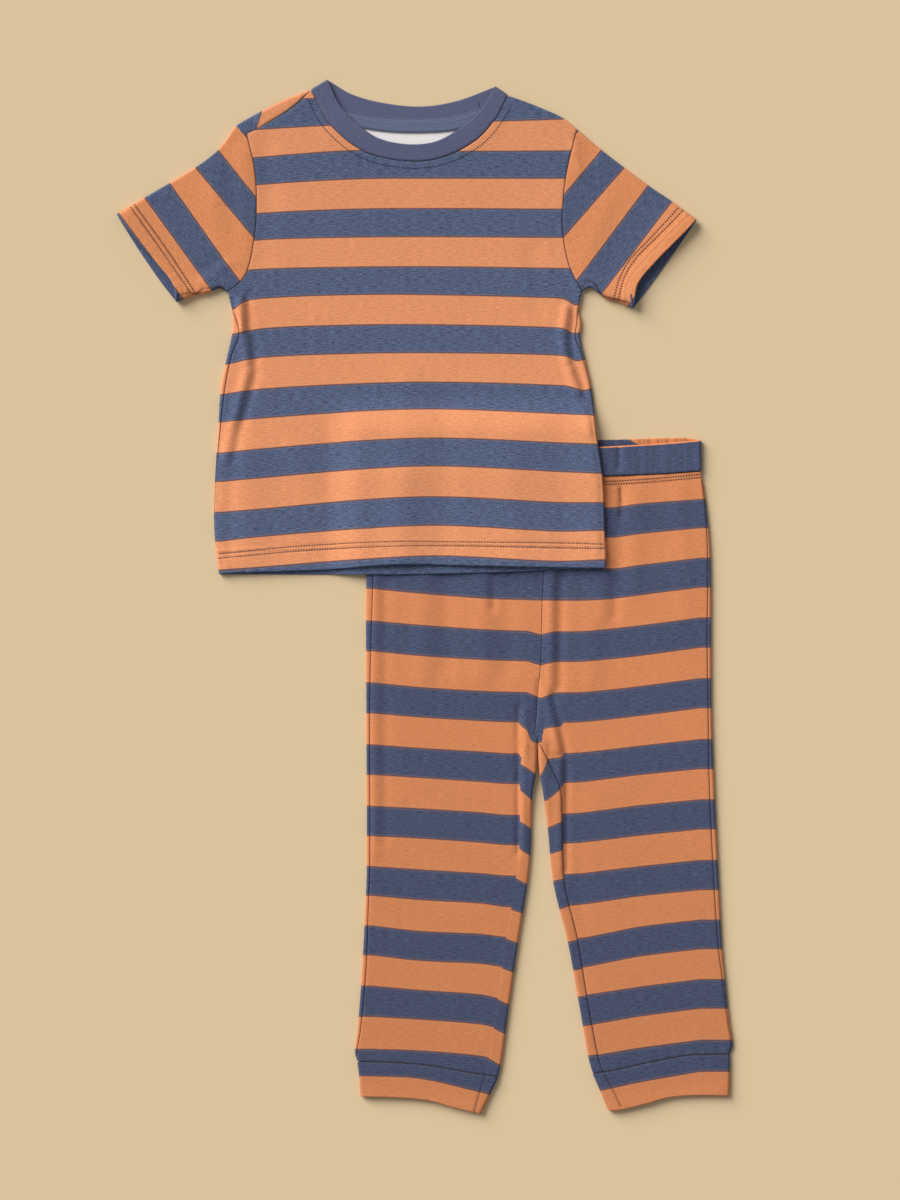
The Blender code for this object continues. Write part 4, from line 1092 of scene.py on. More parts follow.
class Shader:
    """A cloth material in the making."""

    def __init__(self, name: str) -> None:
        """Start a material.

        Args:
            name: Its name.
        """
        self.material = bpy.data.materials.new(name)
        self.material.use_nodes = True
        self.tree = self.material.node_tree
        self.surface = self.tree.nodes["Principled BSDF"]

    def add(self, kind: str, settings: dict[str, object], *inputs: object, **named: object) -> list[Value]:
        """Add a node.

        Args:
            kind: Its type, without the prefix.
            settings: What is set on the node, before its sockets.
            inputs: Values for its first sockets, in order.
            named: Values for sockets by name, with _ for a space.

        Returns:
            Its outputs.
        """
        node = self.tree.nodes.new("ShaderNode" + kind)
        for key, value in settings.items():
            setattr(node, key, value)
        enabled = [socket for socket in node.inputs if socket.enabled]
        for socket, value in zip(enabled, inputs):
            self.feed(socket, value)
        for key, value in named.items():
            self.feed(node.inputs[key.replace("_", " ")], value)
        return [Value(self, socket) for socket in node.outputs if socket.enabled]

    def feed(self, socket: bpy.types.NodeSocket, value: object) -> None:
        """Give a socket its value.

        Args:
            socket: The socket.
            value: What is linked to it or set there.
        """
        if isinstance(value, Value) and isinstance(value.socket, bpy.types.NodeSocket):
            self.tree.links.new(value.socket, socket)
            return
        value = value.socket if isinstance(value, Value) else value
        if isinstance(value, tuple) and socket.type == "RGBA":
            value = (*value, 1.0)
        socket.default_value = value

    def attribute(self, name: str) -> list[Value]:
        """A mesh attribute as a colour, a vector and a number."""
        return self.add("Attribute", {"attribute_name": name})

    def mix(self, factor: Value | float, one: object, other: object) -> Value:
        """A colour between two."""
        return self.add("Mix", {"data_type": "RGBA"}, factor, one, other)[0]

    def scaled(self, colour: Value, factor: Value) -> Value:
        """A colour made lighter or darker."""
        return self.add("VectorMath", {"operation": "SCALE"}, colour, factor)[0]

    def noise(self, vector: Value, size: tuple[float, float, float], detail: float = 2.0) -> Value:
        """Make noise.

        Args:
            vector: Where it is read, in millimetres.
            size: How long, wide and deep its spots are.
            detail: How many finer layers it has.

        Returns:
            The noise, about 0.5.
        """
        scale = tuple(1.0 / part for part in size)
        stretched = self.add("VectorMath", {"operation": "MULTIPLY"}, vector, scale)[0]
        return self.add("TexNoise", {}, Vector=stretched, Scale=1.0, Detail=detail, Roughness=0.6)[0]

    def finish(self, colour: Value | Paint, roughness: float, gloss: float = 0.15, sheen: float = 0.12,
               height: Value | None = None, depth: float = 0.12) -> bpy.types.Material:
        """Join the surface up.

        Args:
            colour: Its colour.
            roughness: Its roughness.
            gloss: How strongly it shines.
            sheen: How strong the nap's sheen is.
            height: The height of its grain, if it has one.
            depth: The depth of its grain in millimetres.

        Returns:
            The material.
        """
        sockets = self.surface.inputs
        self.feed(sockets["Base Color"], colour)
        for name, value in (("Roughness", roughness), ("Specular IOR Level", gloss),
                            ("Sheen Weight", sheen), ("Sheen Roughness", 0.5)):
            sockets[name].default_value = value
        if height:
            grain = self.add("Bump", {}, Strength=1.0, Distance=depth * MM, Height=height)[0]
            self.feed(sockets["Normal"], grain)
        return self.material


def paint(*shades: int) -> Paint:
    """A colour in the shader's own scale, from the red, green and blue that a screen shows."""
    parts = [shade / 255 for shade in shades]
    return tuple(part / 12.92 if part <= 0.04045 else ((part + 0.055) / 1.055) ** 2.4 for part in parts)


@dataclass(frozen=True)
class StripedJersey:
    """Knitted cloth in yarn-dyed stripes, with flecks along them and a white wrong side."""

    name: str
    orange: Paint
    blue: Paint
    # Painted light falloff: how much lighter the cloth is painted 300 mm down, standing in for light that
    # falls off across the set.
    far_light: float = 0.0  # how much lighter the cloth is 300 mm down
    flecks: float = 1.2
    edge: Paint = paint(98, 72, 76)  # the colour of the line where two stripes meet
    rim: Paint = paint(222, 170, 140)  # the colour of the paler loops beside it
    # The seam colour stands for a seam's dark thread with painted shade.
    seam: Paint = paint(52, 38, 46)  # the colour in a seam
    wrong: tuple[Paint, Paint] = (paint(243, 237, 235), paint(212, 186, 186))  # behind orange and blue

    def make(self) -> bpy.types.Material:
        """Make the material.

        Returns:
            The material.
        """
        shader = Shader(self.name)
        weave = shader.attribute("weave")[1]
        stripe = shader.attribute("stripe")[2] + shader.noise(weave, (1.2, 3.0, 1.0)) * 0.02 - 0.01
        flecks = shader.noise(weave, (5.5, 0.62, 1.0), 5.0) - 0.5
        fine = shader.noise(weave, (1.0, 0.9, 1.0), 1.0) - 0.5
        broad = shader.noise(weave, (50.0, 40.0, 9.0), 2.0) - 0.5
        blue_here = (stripe * 0.5).math("FRACT").math("GREATER_THAN", 0.5)
        past = stripe.math("FRACT")
        near = past.math("MINIMUM", 1.0 - past) * PITCH
        colour = shader.mix(blue_here, self.orange, self.blue)
        melange = flecks * (0.6 + blue_here * 1.3) + fine * (0.45 + blue_here * 0.65)
        colour = shader.scaled(colour, 1.0 + melange * self.flecks + broad * 0.1)
        colour = shader.mix(near.ramp(1.9, 0.9) * 0.08, colour, self.rim)
        colour = shader.mix(near.ramp(0.8, 0.35) * 0.85, colour, self.edge)
        reverse = shader.mix(blue_here * 0.12, *self.wrong)
        reverse = shader.scaled(reverse, 1.0 + fine * 0.10)
        colour = shader.mix(shader.attribute("inside")[2], colour, reverse)
        # Seams, grooves and folds are darkened: dark thread with painted shade.
        colour = shader.mix(shader.attribute("seam")[2], colour, self.seam)
        down = shader.add("TexCoord", {})[3]
        spot = shader.add("SeparateXYZ", {}, down)[1]
        # Painted light falloff: the colour is scaled along y, lighter or darker as the light would fall
        # off.
        colour = shader.scaled(colour, 1.0 - spot * (self.far_light / 0.3))
        return shader.finish(colour, 0.9, height=flecks * 0.5 + fine)


@dataclass(frozen=True)
class Yarn:
    """Plain ribbing, tape or thread, with flecks along it."""

    name: str
    colour: Paint
    flecks: float = 0.0
    ribs: float = 0.0  # the width of a rib in millimetres, or 0 for none
    # The seam colour stands for a seam's dark thread with painted shade.
    seam: Paint = paint(40, 36, 52)  # the colour in a seam

    def make(self) -> bpy.types.Material:
        """Make the material.

        Returns:
            The material.
        """
        shader = Shader(self.name)
        weave = shader.attribute("weave")[1]
        flecks = shader.noise(weave, (5.0, 0.9, 1.0), 3.0) - 0.5
        fine = shader.noise(weave, (0.9, 0.9, 1.0), 1.0) - 0.5
        height = flecks * 0.6 + fine
        if self.ribs:
            along = shader.add("SeparateXYZ", {}, weave)[0]
            height = height + (along * (2 * math.pi / self.ribs)).math("SINE") * 0.25
        colour = shader.mix(0.0, self.colour, self.colour)
        colour = shader.scaled(colour, 1.0 + flecks * self.flecks + fine * (self.flecks * 0.4))
        # Seams are darkened: dark thread with painted shade.
        colour = shader.mix(shader.attribute("seam")[2], colour, self.seam)
        return shader.finish(colour, 0.88, height=height)


@dataclass(frozen=True)
class Thread:
    """A plain finish: sewing thread, and the floor's paper."""

    name: str
    colour: Paint
    roughness: float = 0.7

    def make(self) -> bpy.types.Material:
        """The material."""
        return Shader(self.name).finish(self.colour, self.roughness, gloss=0.2, sheen=0.0)


# The fourth value of each jersey is its painted light falloff.
TOP_JERSEY = StripedJersey("top jersey", paint(228, 149, 103), paint(84, 95, 124), 0.07, 1.6)
# The sleeves' jersey is the top's cloth painted darker: painted shade on the sleeves.
SHADED_SLEEVE_JERSEY = StripedJersey("sleeve jersey", paint(221, 141, 92), paint(81, 91, 119), 0.07, 1.5)
TROUSER_JERSEY = StripedJersey("trouser jersey", paint(213, 134, 87), paint(72, 80, 106), -0.11)
NECK_RIB = Yarn("neck rib", paint(88, 91, 118), flecks=0.9, ribs=1.7)
NECK_TAPE = Yarn("neck tape", paint(96, 104, 128), flecks=0.5)
NAVY_THREAD = Thread("navy thread", paint(50, 48, 66))
PALE_THREAD = Thread("pale thread", paint(138, 146, 172))
OVERLOCK_THREAD = Thread("overlock thread", paint(88, 96, 122))


class Coat(NamedTuple):
    """What the points of a skin carry for its material."""

    stripe: Points
    weave: Points
    inside: Points
    # How dark each point is painted: seam thread with painted shade in seams, grooves, pleats and gathers.
    seam: Points


@dataclass
class Piece:
    """A piece of cloth as a thin wall on a grid, in millimetres."""

    name: str  # the name of the solid that it replaces
    grid: Grid
    wall: float
    finish: bpy.types.Material
    coat: Callable[[Grid, bool], Coat]  # what its outer face carries, and with True its inner face
    hem: float = 11.6  # the depth of its stitched hems
    hem_rows: tuple[float, ...] = (7.0, 10.6)  # how far in its rows of stitches lie
    shift: float = 0.0  # how far outwards the wall is moved
    gathers: float = 0.0  # how high the gathers of elastic stand
    turned: float = 0.3  # how much higher the cloth stands where it is turned up inside
    pull: float = 0.22  # how far a row of stitches draws the cloth in
    hem_pucker: float = 0.10  # how high the cloth puckers at a hem
    seam_pucker: float = 0.08  # how high it puckers at a seam

    def relief(self) -> Points:
        """How far the outer face is raised by turned cloth, drawn in by stitches and left uneven."""
        hem, seams = self.grid.away(Edge.HEM), self.grid.away(Edge.SEAM)
        raised = self.turned * smooth((self.hem + 0.5 - hem) / 1.2)
        for row in self.hem_rows:
            raised -= self.pull * bump(hem - row, 0.8)
        # Puckers are crossing waves, 9 to 30 mm long, that die away from the hem and the seams.
        x, y = self.grid.plan[..., 0], self.grid.plan[..., 1]
        puckers = np.sin(x * 0.55 + np.sin(y * 0.21) * 1.3) * np.sin(y * 0.5 + 0.7)
        raised += self.hem_pucker * puckers * smooth((22.0 - hem) / 10.0)
        fade = smooth((9.0 - seams) / 6.0) * smooth(seams / 2.0)
        raised += self.seam_pucker * np.sin(x * 0.7 + y * 0.6) * fade
        raised += self.gathers * np.sin(x * 1.05 + 1.9 * np.sin(x * 0.31))
        return np.where(self.grid.outs[..., 2] < 0.0, np.minimum(raised, 0.0), raised)

    def skins(self) -> tuple[Points, Points]:
        """The outer and inner points, rounded at the rims."""
        half = self.wall / 2
        away = np.clip(self.grid.away(Edge.SEAM, Edge.FREE, Edge.HEM) / half, 0.0, 1.0)
        share = np.sqrt(1.0 - (1.0 - away) ** 2)[..., None]
        half = half * np.maximum(share, 0.12)
        outer = self.grid.middle + self.grid.outs * (self.shift + half + self.relief()[..., None] * share)
        return outer, self.grid.middle + self.grid.outs * (self.shift - half)

    def faces(self) -> Points:
        """The corners of the faces, by the number of each point."""
        rows, columns = self.grid.across.shape
        total = rows * columns
        ids = np.arange(total).reshape(rows, columns)
        if self.grid.closed:
            ids = np.concatenate([ids, ids[:, :1]], axis=1)
        outer = (ids[:-1, :-1], ids[:-1, 1:], ids[1:, 1:], ids[1:, :-1])
        sets = [outer, [corner + total for corner in outer[::-1]]]
        rims = [ids[0], ids[-1, ::-1]]
        if not self.grid.closed:
            rims += [ids[::-1, 0], ids[:, -1]]
        sets += [(rim[:-1], rim[:-1] + total, rim[1:] + total, rim[1:]) for rim in rims]
        return np.concatenate([np.stack(corners, axis=-1).reshape(-1, 4) for corners in sets])

    def facing_out(self) -> bool:
        """Whether the order of the rows and columns turns the outer face outwards."""
        middle = self.grid.middle
        normals = np.cross(middle[:-1, 1:] - middle[:-1, :-1], middle[1:, :-1] - middle[:-1, :-1])
        return float((normals * self.grid.outs[:-1, :-1]).sum()) > 0

    def build(self, slot: str = "striped_jersey") -> None:
        """Make the piece in place of its plain solid.

        Args:
            slot: Its finish slot, which is not used.
        """
        points = np.concatenate([skin.reshape(-1, 3) for skin in self.skins()]) * MM
        faces = self.faces() if self.facing_out() else self.faces()[:, ::-1]
        made = new_mesh(self.name + "_cloth", points, faces, self.finish)
        coats = [self.coat(self.grid, inside) for inside in (False, True)]
        for key in Coat._fields:
            values = np.concatenate([getattr(coat, key).ravel() for coat in coats]).astype(np.float32)
            kind, field_name = ("FLOAT_VECTOR", "vector") if key == "weave" else ("FLOAT", "value")
            made.data.attributes.new(key, kind, "POINT").data.foreach_set(field_name, values)
        take_part(made)
        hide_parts(self.name)
        LOG.info("%s: %d faces", made.name, len(faces))


def new_mesh(name: str, points: Points, faces: Points, finish: bpy.types.Material) -> bpy.types.Object:
    """Make a smooth object of four-cornered faces.

    Args:
        name: Its name.
        points: Its points in metres.
        faces: The numbers of each face's corners.
        finish: Its material.

    Returns:
        The object.
    """
    data = bpy.data.meshes.new(name)
    data.vertices.add(len(points))
    data.vertices.foreach_set("co", points.astype(np.float32).ravel())
    data.loops.add(faces.size)
    data.loops.foreach_set("vertex_index", faces.astype(np.int32).ravel())
    data.polygons.add(len(faces))
    data.polygons.foreach_set("loop_start", np.arange(0, faces.size, 4, dtype=np.int32))
    data.update(calc_edges=True)
    data.validate()
    data.shade_smooth()
    data.materials.append(finish)
    made = bpy.data.objects.new(name, data)
    bpy.context.collection.objects.link(made)
    return made


def take_part(made: bpy.types.Object) -> None:
    """Join an object to the set."""
    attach(made, BODY)


@dataclass(frozen=True)
class Stitches:
    """Rows of stitches, each a short fat grain of thread, in millimetres."""

    pitch: float = 2.1  # from one stitch to the next
    length: float = 1.3
    width: float = 0.95  # a stitch's width
    sides: int = 6
    rings: int = 4  # the rings of faces along it

    def tree(self) -> tuple[bpy.types.NodeTree, dict[str, str]]:
        """Make the nodes that set a stitch at each step of a path.

        Returns:
            The tree, and the identifiers of its inputs by name.
        """
        tree = bpy.data.node_groups.new("stitches", "GeometryNodeTree")
        names = {}
        for name, kind in (("Path", "Geometry"), ("Pitch", "Float"), ("Length", "Float"),
                           ("Width", "Float"), ("Thread", "Material")):
            socket = tree.interface.new_socket(name, in_out="INPUT", socket_type="NodeSocket" + kind)
            names[name] = socket.identifier
        tree.interface.new_socket("Sewn", in_out="OUTPUT", socket_type="NodeSocketGeometry")
        kinds = dict(given="NodeGroupInput", curve="GeometryNodeMeshToCurve",
                     steps="GeometryNodeResampleCurve", tangent="GeometryNodeInputTangent",
                     turn="FunctionNodeAlignRotationToVector", grain="GeometryNodeMeshUVSphere",
                     size="ShaderNodeCombineXYZ", sown="GeometryNodeInstanceOnPoints",
                     real="GeometryNodeRealizeInstances", dye="GeometryNodeSetMaterial",
                     made="NodeGroupOutput")
        nodes = {key: tree.nodes.new(kind) for key, kind in kinds.items()}
        nodes["steps"].mode = "LENGTH"
        nodes["turn"].axis = "X"
        for name, value in (("Segments", self.sides), ("Rings", self.rings), ("Radius", 0.5)):
            nodes["grain"].inputs[name].default_value = value
        for link in ("given Path curve Mesh", "curve Curve steps Curve", "given Pitch steps Length",
                     "steps Curve sown Points", "grain Mesh sown Instance", "tangent Tangent turn Vector",
                     "turn Rotation sown Rotation", "given Length size X", "given Width size Y",
                     "given Width size Z", "size Vector sown Scale", "sown Instances real Geometry",
                     "real Geometry dye Geometry", "given Thread dye Material", "dye Geometry made Sewn"):
            start, out, finish, into = link.split()
            tree.links.new(nodes[start].outputs[out], nodes[finish].inputs[into])
        return tree, names

    def sew(self, name: str, paths: Sequence[Points], thread: bpy.types.Material,
            slot: str = "striped_jersey") -> None:
        """Sew rows of stitches as one piece.

        Args:
            name: The piece's name.
            paths: The points of each row in millimetres.
            thread: The thread's material.
            slot: The finish slot, which is not used.
        """
        links, start = [], 0
        for path in paths:
            links += [(k, k + 1) for k in range(start, start + len(path) - 1)]
            start += len(path)
        data = bpy.data.meshes.new(name)
        data.from_pydata((np.concatenate(paths) * MM).tolist(), links, [])
        made = bpy.data.objects.new(name, data)
        bpy.context.collection.objects.link(made)
        tree, names = self.tree()
        modifier = made.modifiers.new("stitches", "NODES")
        modifier.node_group = tree
        for key, value in (("Pitch", self.pitch * MM), ("Length", self.length * MM),
                           ("Width", self.width * MM), ("Thread", thread)):
            modifier[names[key]] = value
        graph = bpy.context.evaluated_depsgraph_get()
        sewn = bpy.data.meshes.new_from_object(made.evaluated_get(graph))
        made.modifiers.clear()
        made.data = sewn
        sewn.shade_smooth()
        take_part(made)
        LOG.info("%s: %d faces", name, len(sewn.polygons))


def jersey_coat(grid: Grid, inside: bool, stripe: Points, along: Points, dark: Points | float,
                turned: Points | float = 1.0, step: float = 0.0) -> Coat:
    """What striped jersey carries.

    Args:
        grid: The panel.
        inside: Whether this is the inner face.
        stripe: The stripe number at each point.
        along: The distance along the stripes.
        dark: How dark the seams, grooves, pleats and gathers in the piece are painted: dark thread with
            painted shade.
        turned: 1 where the cloth is turned up inside, and 0 elsewhere.
        step: How the stripe number grows from the edge up the turned cloth, in stripes a millimetre.

    Returns:
        The coat.
    """
    wrong = np.zeros(stripe.shape)
    seam = np.maximum(grid.shade(), dark)
    if inside:
        edge = np.minimum(grid.away(Edge.HEM, Edge.FREE), 30.0)
        stripe = stripe + step * edge * turned
        wrong = (1.0 - turned) * smooth((edge - 0.3) / 0.3)
        seam = np.maximum(grid.shade() * 0.4, dark)
    weave = np.stack([along, stripe * PITCH, np.full(stripe.shape, 7.0 * inside)], axis=-1)
    return Coat(stripe, weave, wrong, seam)


def yarn_coat(grid: Grid, inside: bool, size: tuple[float, float]) -> Coat:
    """What plain ribbing or tape carries.

    Args:
        grid: The panel.
        inside: Whether this is the inner face, which is the same.
        size: The piece's length and depth in millimetres.

    Returns:
        The coat.
    """
    weave = np.stack([grid.across * size[0], grid.along * size[1], grid.outs[..., 2]], axis=-1)
    flat = np.zeros(grid.across.shape)
    return Coat(flat, weave, flat, grid.shade())


@dataclass
class Sleeve:
    """A sleeve's own lines and how its stripes run."""

    name: str
    over: Line  # the fold over the arm, from the shoulder out
    under: Line  # the fold under the arm
    front_armhole: Sequence[Line]  # the front armhole, from the shoulder down
    back_armhole: Line  # the back armhole, from the shoulder down
    front_hem: Line  # the front hem, from the overarm fold
    back_hem: Line  # the back hem, from the overarm fold
    # Weights of x and of the height, and a constant: how far in from the hem and from the overarm fold
    along: tuple[float, float, float]
    across: tuple[float, float, float]

    def place(self, plan: Points) -> Points:
        """Points across and along the sleeve for plan points."""
        local = TOP.local(plan)
        return np.stack([local[..., 0] * x + local[..., 1] * up + constant
                         for x, up, constant in (self.across, self.along)], axis=-1)


@dataclass
class Top:
    """The top: two body panels, two sleeves, a neckband and the tape inside the back of the neck."""

    wall: float = 1.2  # the jersey's thickness
    rib_wall: float = 1.6  # the neckband's thickness
    tape_wall: float = 1.0  # the tape's thickness
    loft: float = 1.4  # half the height between its layers
    neck_corner: float = 0.016  # the share of a neckline that bends round at each shoulder
    band: tuple[float, float] = (190.0, 17.0)  # the neckband's length laid flat, and its depth
    tape: tuple[float, float] = (128.0, TAPE_DEPTH)  # the tape's length and depth
    tape_gap: float = 0.3  # the gap between the tape and the back panel
    neck_row: float = 5.4  # how far outside the neck seam its stitches run
    back_rows: float = 8.0  # how far below the front's rows of hem stitches the back's lie
    rise: float = 5.0  # how far it climbs over the trousers
    rise_casing: float = 1.2  # how much further over their waistband
    over_trousers: tuple[float, float] = (-80.0, 162.0)  # the plan x and y at which it begins to climb
    run: float = 32.0  # the distance over which it climbs
    over_casing: float = 70.0  # the plan y at which it begins to climb on to the waistband
    casing_run: float = 30.0  # the distance over which it climbs there
    hem_depth: float = 12.0  # how deep the sleeves' hems are turned
    body_hem: float = 19.6  # how deep the body's hem is turned
    body_hem_rows: tuple[float, float] = (15.4, 19.0)  # how far in its rows of stitches lie
    shoulder_stripe: float = -124.0  # where the back's stripe changes on the left shoulder
    shoulder_up: float = 352.0  # the height at which it changes there
    shoulder_lean: float = 1 / 3  # how far the change moves across for each millimetre up
    shoulder_reach: float = 15.0  # how far from the shoulder seam the back's own stripe shows

    def __post_init__(self) -> None:
        """Set up the lines and the lay."""
        line = TOP.line
        rights = (TOP_SIDES[0]._replace(up=BACK_HEM[-1][1]),) + TOP_SIDES[1:]
        self.left_side = (line(*[(row.left, row.up) for row in TOP_SIDES]),
                          line(*[(row.left + row.left_inset, row.up) for row in TOP_SIDES]))
        self.right_side = (line(*[(row.right, row.up) for row in rights]),
                           line(*[(row.right - row.right_inset, row.up) for row in rights]))
        self.shoulders = (line(*LEFT_SHOULDER_FOLD), line(*RIGHT_SHOULDER_FOLD))
        self.band_ends = (line(BACK_NECKLINE[0], BACK_BAND_EDGE[0]),
                          line(BACK_NECKLINE[-1], BACK_BAND_EDGE[-1]))
        point = line(LEFT_OVERARM[0], LEFT_SHOULDER_SEAM[0])
        left_hole, right_hole = line(*LEFT_ARMHOLE), line(*RIGHT_ARMHOLE)
        self.sleeves = (
            Sleeve("sleeve_left", line(*LEFT_OVERARM), line(*LEFT_UNDERARM),
                   (point, left_hole.reversed()), line(*LEFT_BACK_ARMHOLE).reversed(),
                   line(*LEFT_SLEEVE_FRONT_HEM), line(*LEFT_SLEEVE_BACK_HEM),
                   (0.8, 0.6, 15.84), (0.6, -0.8, 367.9)),
            Sleeve("sleeve_right", line(*RIGHT_OVERARM), line(*RIGHT_UNDERARM),
                   (right_hole.reversed(),), right_hole.reversed(),
                   line(*RIGHT_SLEEVE_FRONT_HEM), line(*RIGHT_SLEEVE_BACK_HEM),
                   (-0.785, 0.62, 5.2), (-0.62, -0.785, 360.4)),
        )
        left, right = self.sleeves
        outline = Outline(
            (left.under.reversed(), self.left_side[0].reversed()),
            (self.right_side[0], right.under),
            (right.over.reversed(), self.shoulders[1].reversed(), self.band_ends[1]),
            (self.band_ends[0].reversed(), self.shoulders[0].reversed(), left.over),
        )
        grooves = [Groove(line(*knots), 1.1, 0.5, 0.8) for knots in TOP_INNER_SEAMS]
        grooves += [Groove(line(*knots), 0.8, 0.22, 0.22) for knots in (*TOP_HEM_ROWS, *SLEEVE_HEM_ROWS)]
        self.lay = Lay(outline, self.base, self.loft, TOP.creases(TOP_CREASES), TOP.creases(TOP_MOUTHS),
                       grooves)
        self.jersey, self.sleeve_jersey = TOP_JERSEY.make(), SHADED_SLEEVE_JERSEY.make()
        self.body_stripes = Stripes(TOP_STATIONS, TOP_STRIPES)
        self.sleeve_stripes = Stripes(SLEEVE_STATIONS, SLEEVE_STRIPES)

    def base(self, plan: Points) -> Points:
        """Work out what the top rests on: the floor, and the trousers where they lie below it.

        Args:
            plan: Plan points.

        Returns:
            The height at each point.
        """
        left, front = self.over_trousers
        over = smooth((plan[:, 0] - left) / self.run) * smooth((front - plan[:, 1]) / self.run)
        casing = smooth((plan[:, 1] - self.over_casing) / self.casing_run)
        return over * (self.rise + self.rise_casing * casing)

    def neck_line(self, knots: Pairs) -> list[Stretch]:
        """Draw a line along the neck.

        Args:
            knots: The points that it passes.

        Returns:
            Its stretches, with a short one of its own at each corner.
        """
        line = TOP.line(*knots)
        stops = (0.0, self.neck_corner, 1.0 - self.neck_corner, 1.0)
        return [Stretch(line.part(first, last), None, share)
                for first, last, share in zip(stops, stops[1:], (0.3, 11.0, 0.3))]

    def body_coat(self, layer: Layer, grid: Grid, inside: bool) -> Coat:
        """What a body panel carries.

        Args:
            layer: Its layer.
            grid: Its points.
            inside: Whether this is its inner face.

        Returns:
            The coat.
        """
        local = TOP.local(grid.plan)
        x, up = local[..., 0], local[..., 1]
        above = grid.outs[..., 2] > 0
        dip = crease_height(TOP_DIPS, local.reshape(-1, 2)).reshape(x.shape) * above
        stripe = self.body_stripes.number(np.stack([x, up + dip], axis=-1), -1.0)
        shoulder = above & (grid.ends[..., 1] < self.shoulder_reach) & (x < BACK_NECKLINE[0][0])
        lean = x - self.shoulder_stripe - (up - self.shoulder_up) * self.shoulder_lean
        shown = np.clip(lean / PITCH, -0.9, 0.5)
        stripe = np.where(shoulder & (layer is Layer.LOWER), shown, stripe)
        turned = smooth((self.body_hem - grid.ends[..., 0]) / 0.6 + 0.5)
        return jersey_coat(grid, inside, stripe, x, self.lay.darkness(grid), turned, 2.0 / PITCH)

    def sleeve_coat(self, sleeve: Sleeve, grid: Grid, inside: bool) -> Coat:
        """What a sleeve carries.

        Args:
            sleeve: The sleeve.
            grid: Its points.
            inside: Whether this is its inner face.

        Returns:
            The coat.
        """
        place = sleeve.place(grid.plan)
        stripe = self.sleeve_stripes.number(place, -1.0)
        turned = smooth((self.hem_depth - grid.ends[..., 1]) / 0.6 + 0.5)
        dark = self.lay.darkness(grid)
        return jersey_coat(grid, inside, stripe, place[..., 0], dark, turned, -2.0 / PITCH)

    def make_body(self) -> None:
        """The front and back panels."""
        holes = TOP.line(*LEFT_ARMHOLE), TOP.line(*LEFT_BACK_ARMHOLE)
        shoulders = (Stretch(self.shoulders[0], TOP.line(*LEFT_SHOULDER_SEAM), 4.0),
                     Stretch(self.shoulders[1], self.shoulders[1], 4.0))
        for name, layer, hem, neckline, left_hole, spacing in (
                ("top_front", Layer.UPPER, FRONT_HEM, FRONT_NECKLINE, holes[0], 2.2),
                ("top_back", Layer.LOWER, BACK_HEM, BACK_NECKLINE, holes[1], 3.0)):
            sides = [Border.of(Stretch(*fold, 13.0), Stretch(hole, None, 8.0)) for fold, hole in
                     ((self.left_side, left_hole), (self.right_side, TOP.line(*RIGHT_ARMHOLE)))]
            borders = (Border.of(TOP.line(*hem), kind=Edge.HEM),
                       Border.of(shoulders[0], *self.neck_line(neckline), shoulders[1], dark=0.45), *sides)
            grid = Panel(self.lay, layer, borders, self.wall, layer is Layer.LOWER, spacing).grid()
            Piece(name, grid, self.wall, self.jersey, partial(self.body_coat, layer),
                  self.body_hem, self.body_hem_rows).build()

    def make_sleeves(self) -> None:
        """The sleeves, each a flattened tube."""
        for sleeve in self.sleeves:
            shares = (1.0, 8.0) if len(sleeve.front_armhole) > 1 else (8.0,)
            front = [Stretch(line, None, share) for line, share in zip(sleeve.front_armhole, shares)]
            halves = ((Border.of(*front), Border.of(sleeve.front_hem, kind=Edge.HEM)),
                      (Border.of(sleeve.back_armhole), Border.of(sleeve.back_hem, kind=Edge.HEM)))
            grid = tube(self.lay, (sleeve.over, sleeve.under), halves, self.wall, spacing=2.5)
            coat = partial(self.sleeve_coat, sleeve)
            # The sleeves take the jersey painted darker, as painted shade.
            Piece(sleeve.name, grid, self.wall, self.sleeve_jersey, coat).build()

    def make_neck(self) -> None:
        """The neckband and the tape."""
        halves = [(Border.of(*self.neck_line(seam), dark=0.3),
                   Border.of(*self.neck_line(edge), kind=Edge.FREE))
                  for seam, edge in ((FRONT_NECKLINE, FRONT_BAND_EDGE), (BACK_NECKLINE, BACK_BAND_EDGE))]
        grid = tube(self.lay, self.band_ends, halves, self.rib_wall, spacing=1.5, dip=0.5, reach=4.0)
        coat = partial(yarn_coat, size=self.band)
        Piece("neckband", grid, self.rib_wall, NECK_RIB.make(), coat).build("neck_rib")

        top = TOP.line(*[(x, up + 1.0) for x, up in TAPE_TOP])
        low = Line(top.points - (0.0, TAPE_DEPTH + 1.0))
        ends = [Line(np.array([low.at([end])[0], top.at([end])[0]])) for end in (0.0, 1.0)]
        borders = [Border.of(line, kind=Edge.FREE) for line in (low, top, *ends)]
        grid = Panel(self.lay, Layer.LOWER, tuple(borders), self.wall, spacing=1.5, reach=2.4).grid()
        coat = partial(yarn_coat, size=self.tape)
        Piece("neck_tape", grid, self.tape_wall, NECK_TAPE.make(), coat,
              shift=-(self.wall + self.tape_wall) / 2 - self.tape_gap).build("neck_tape")

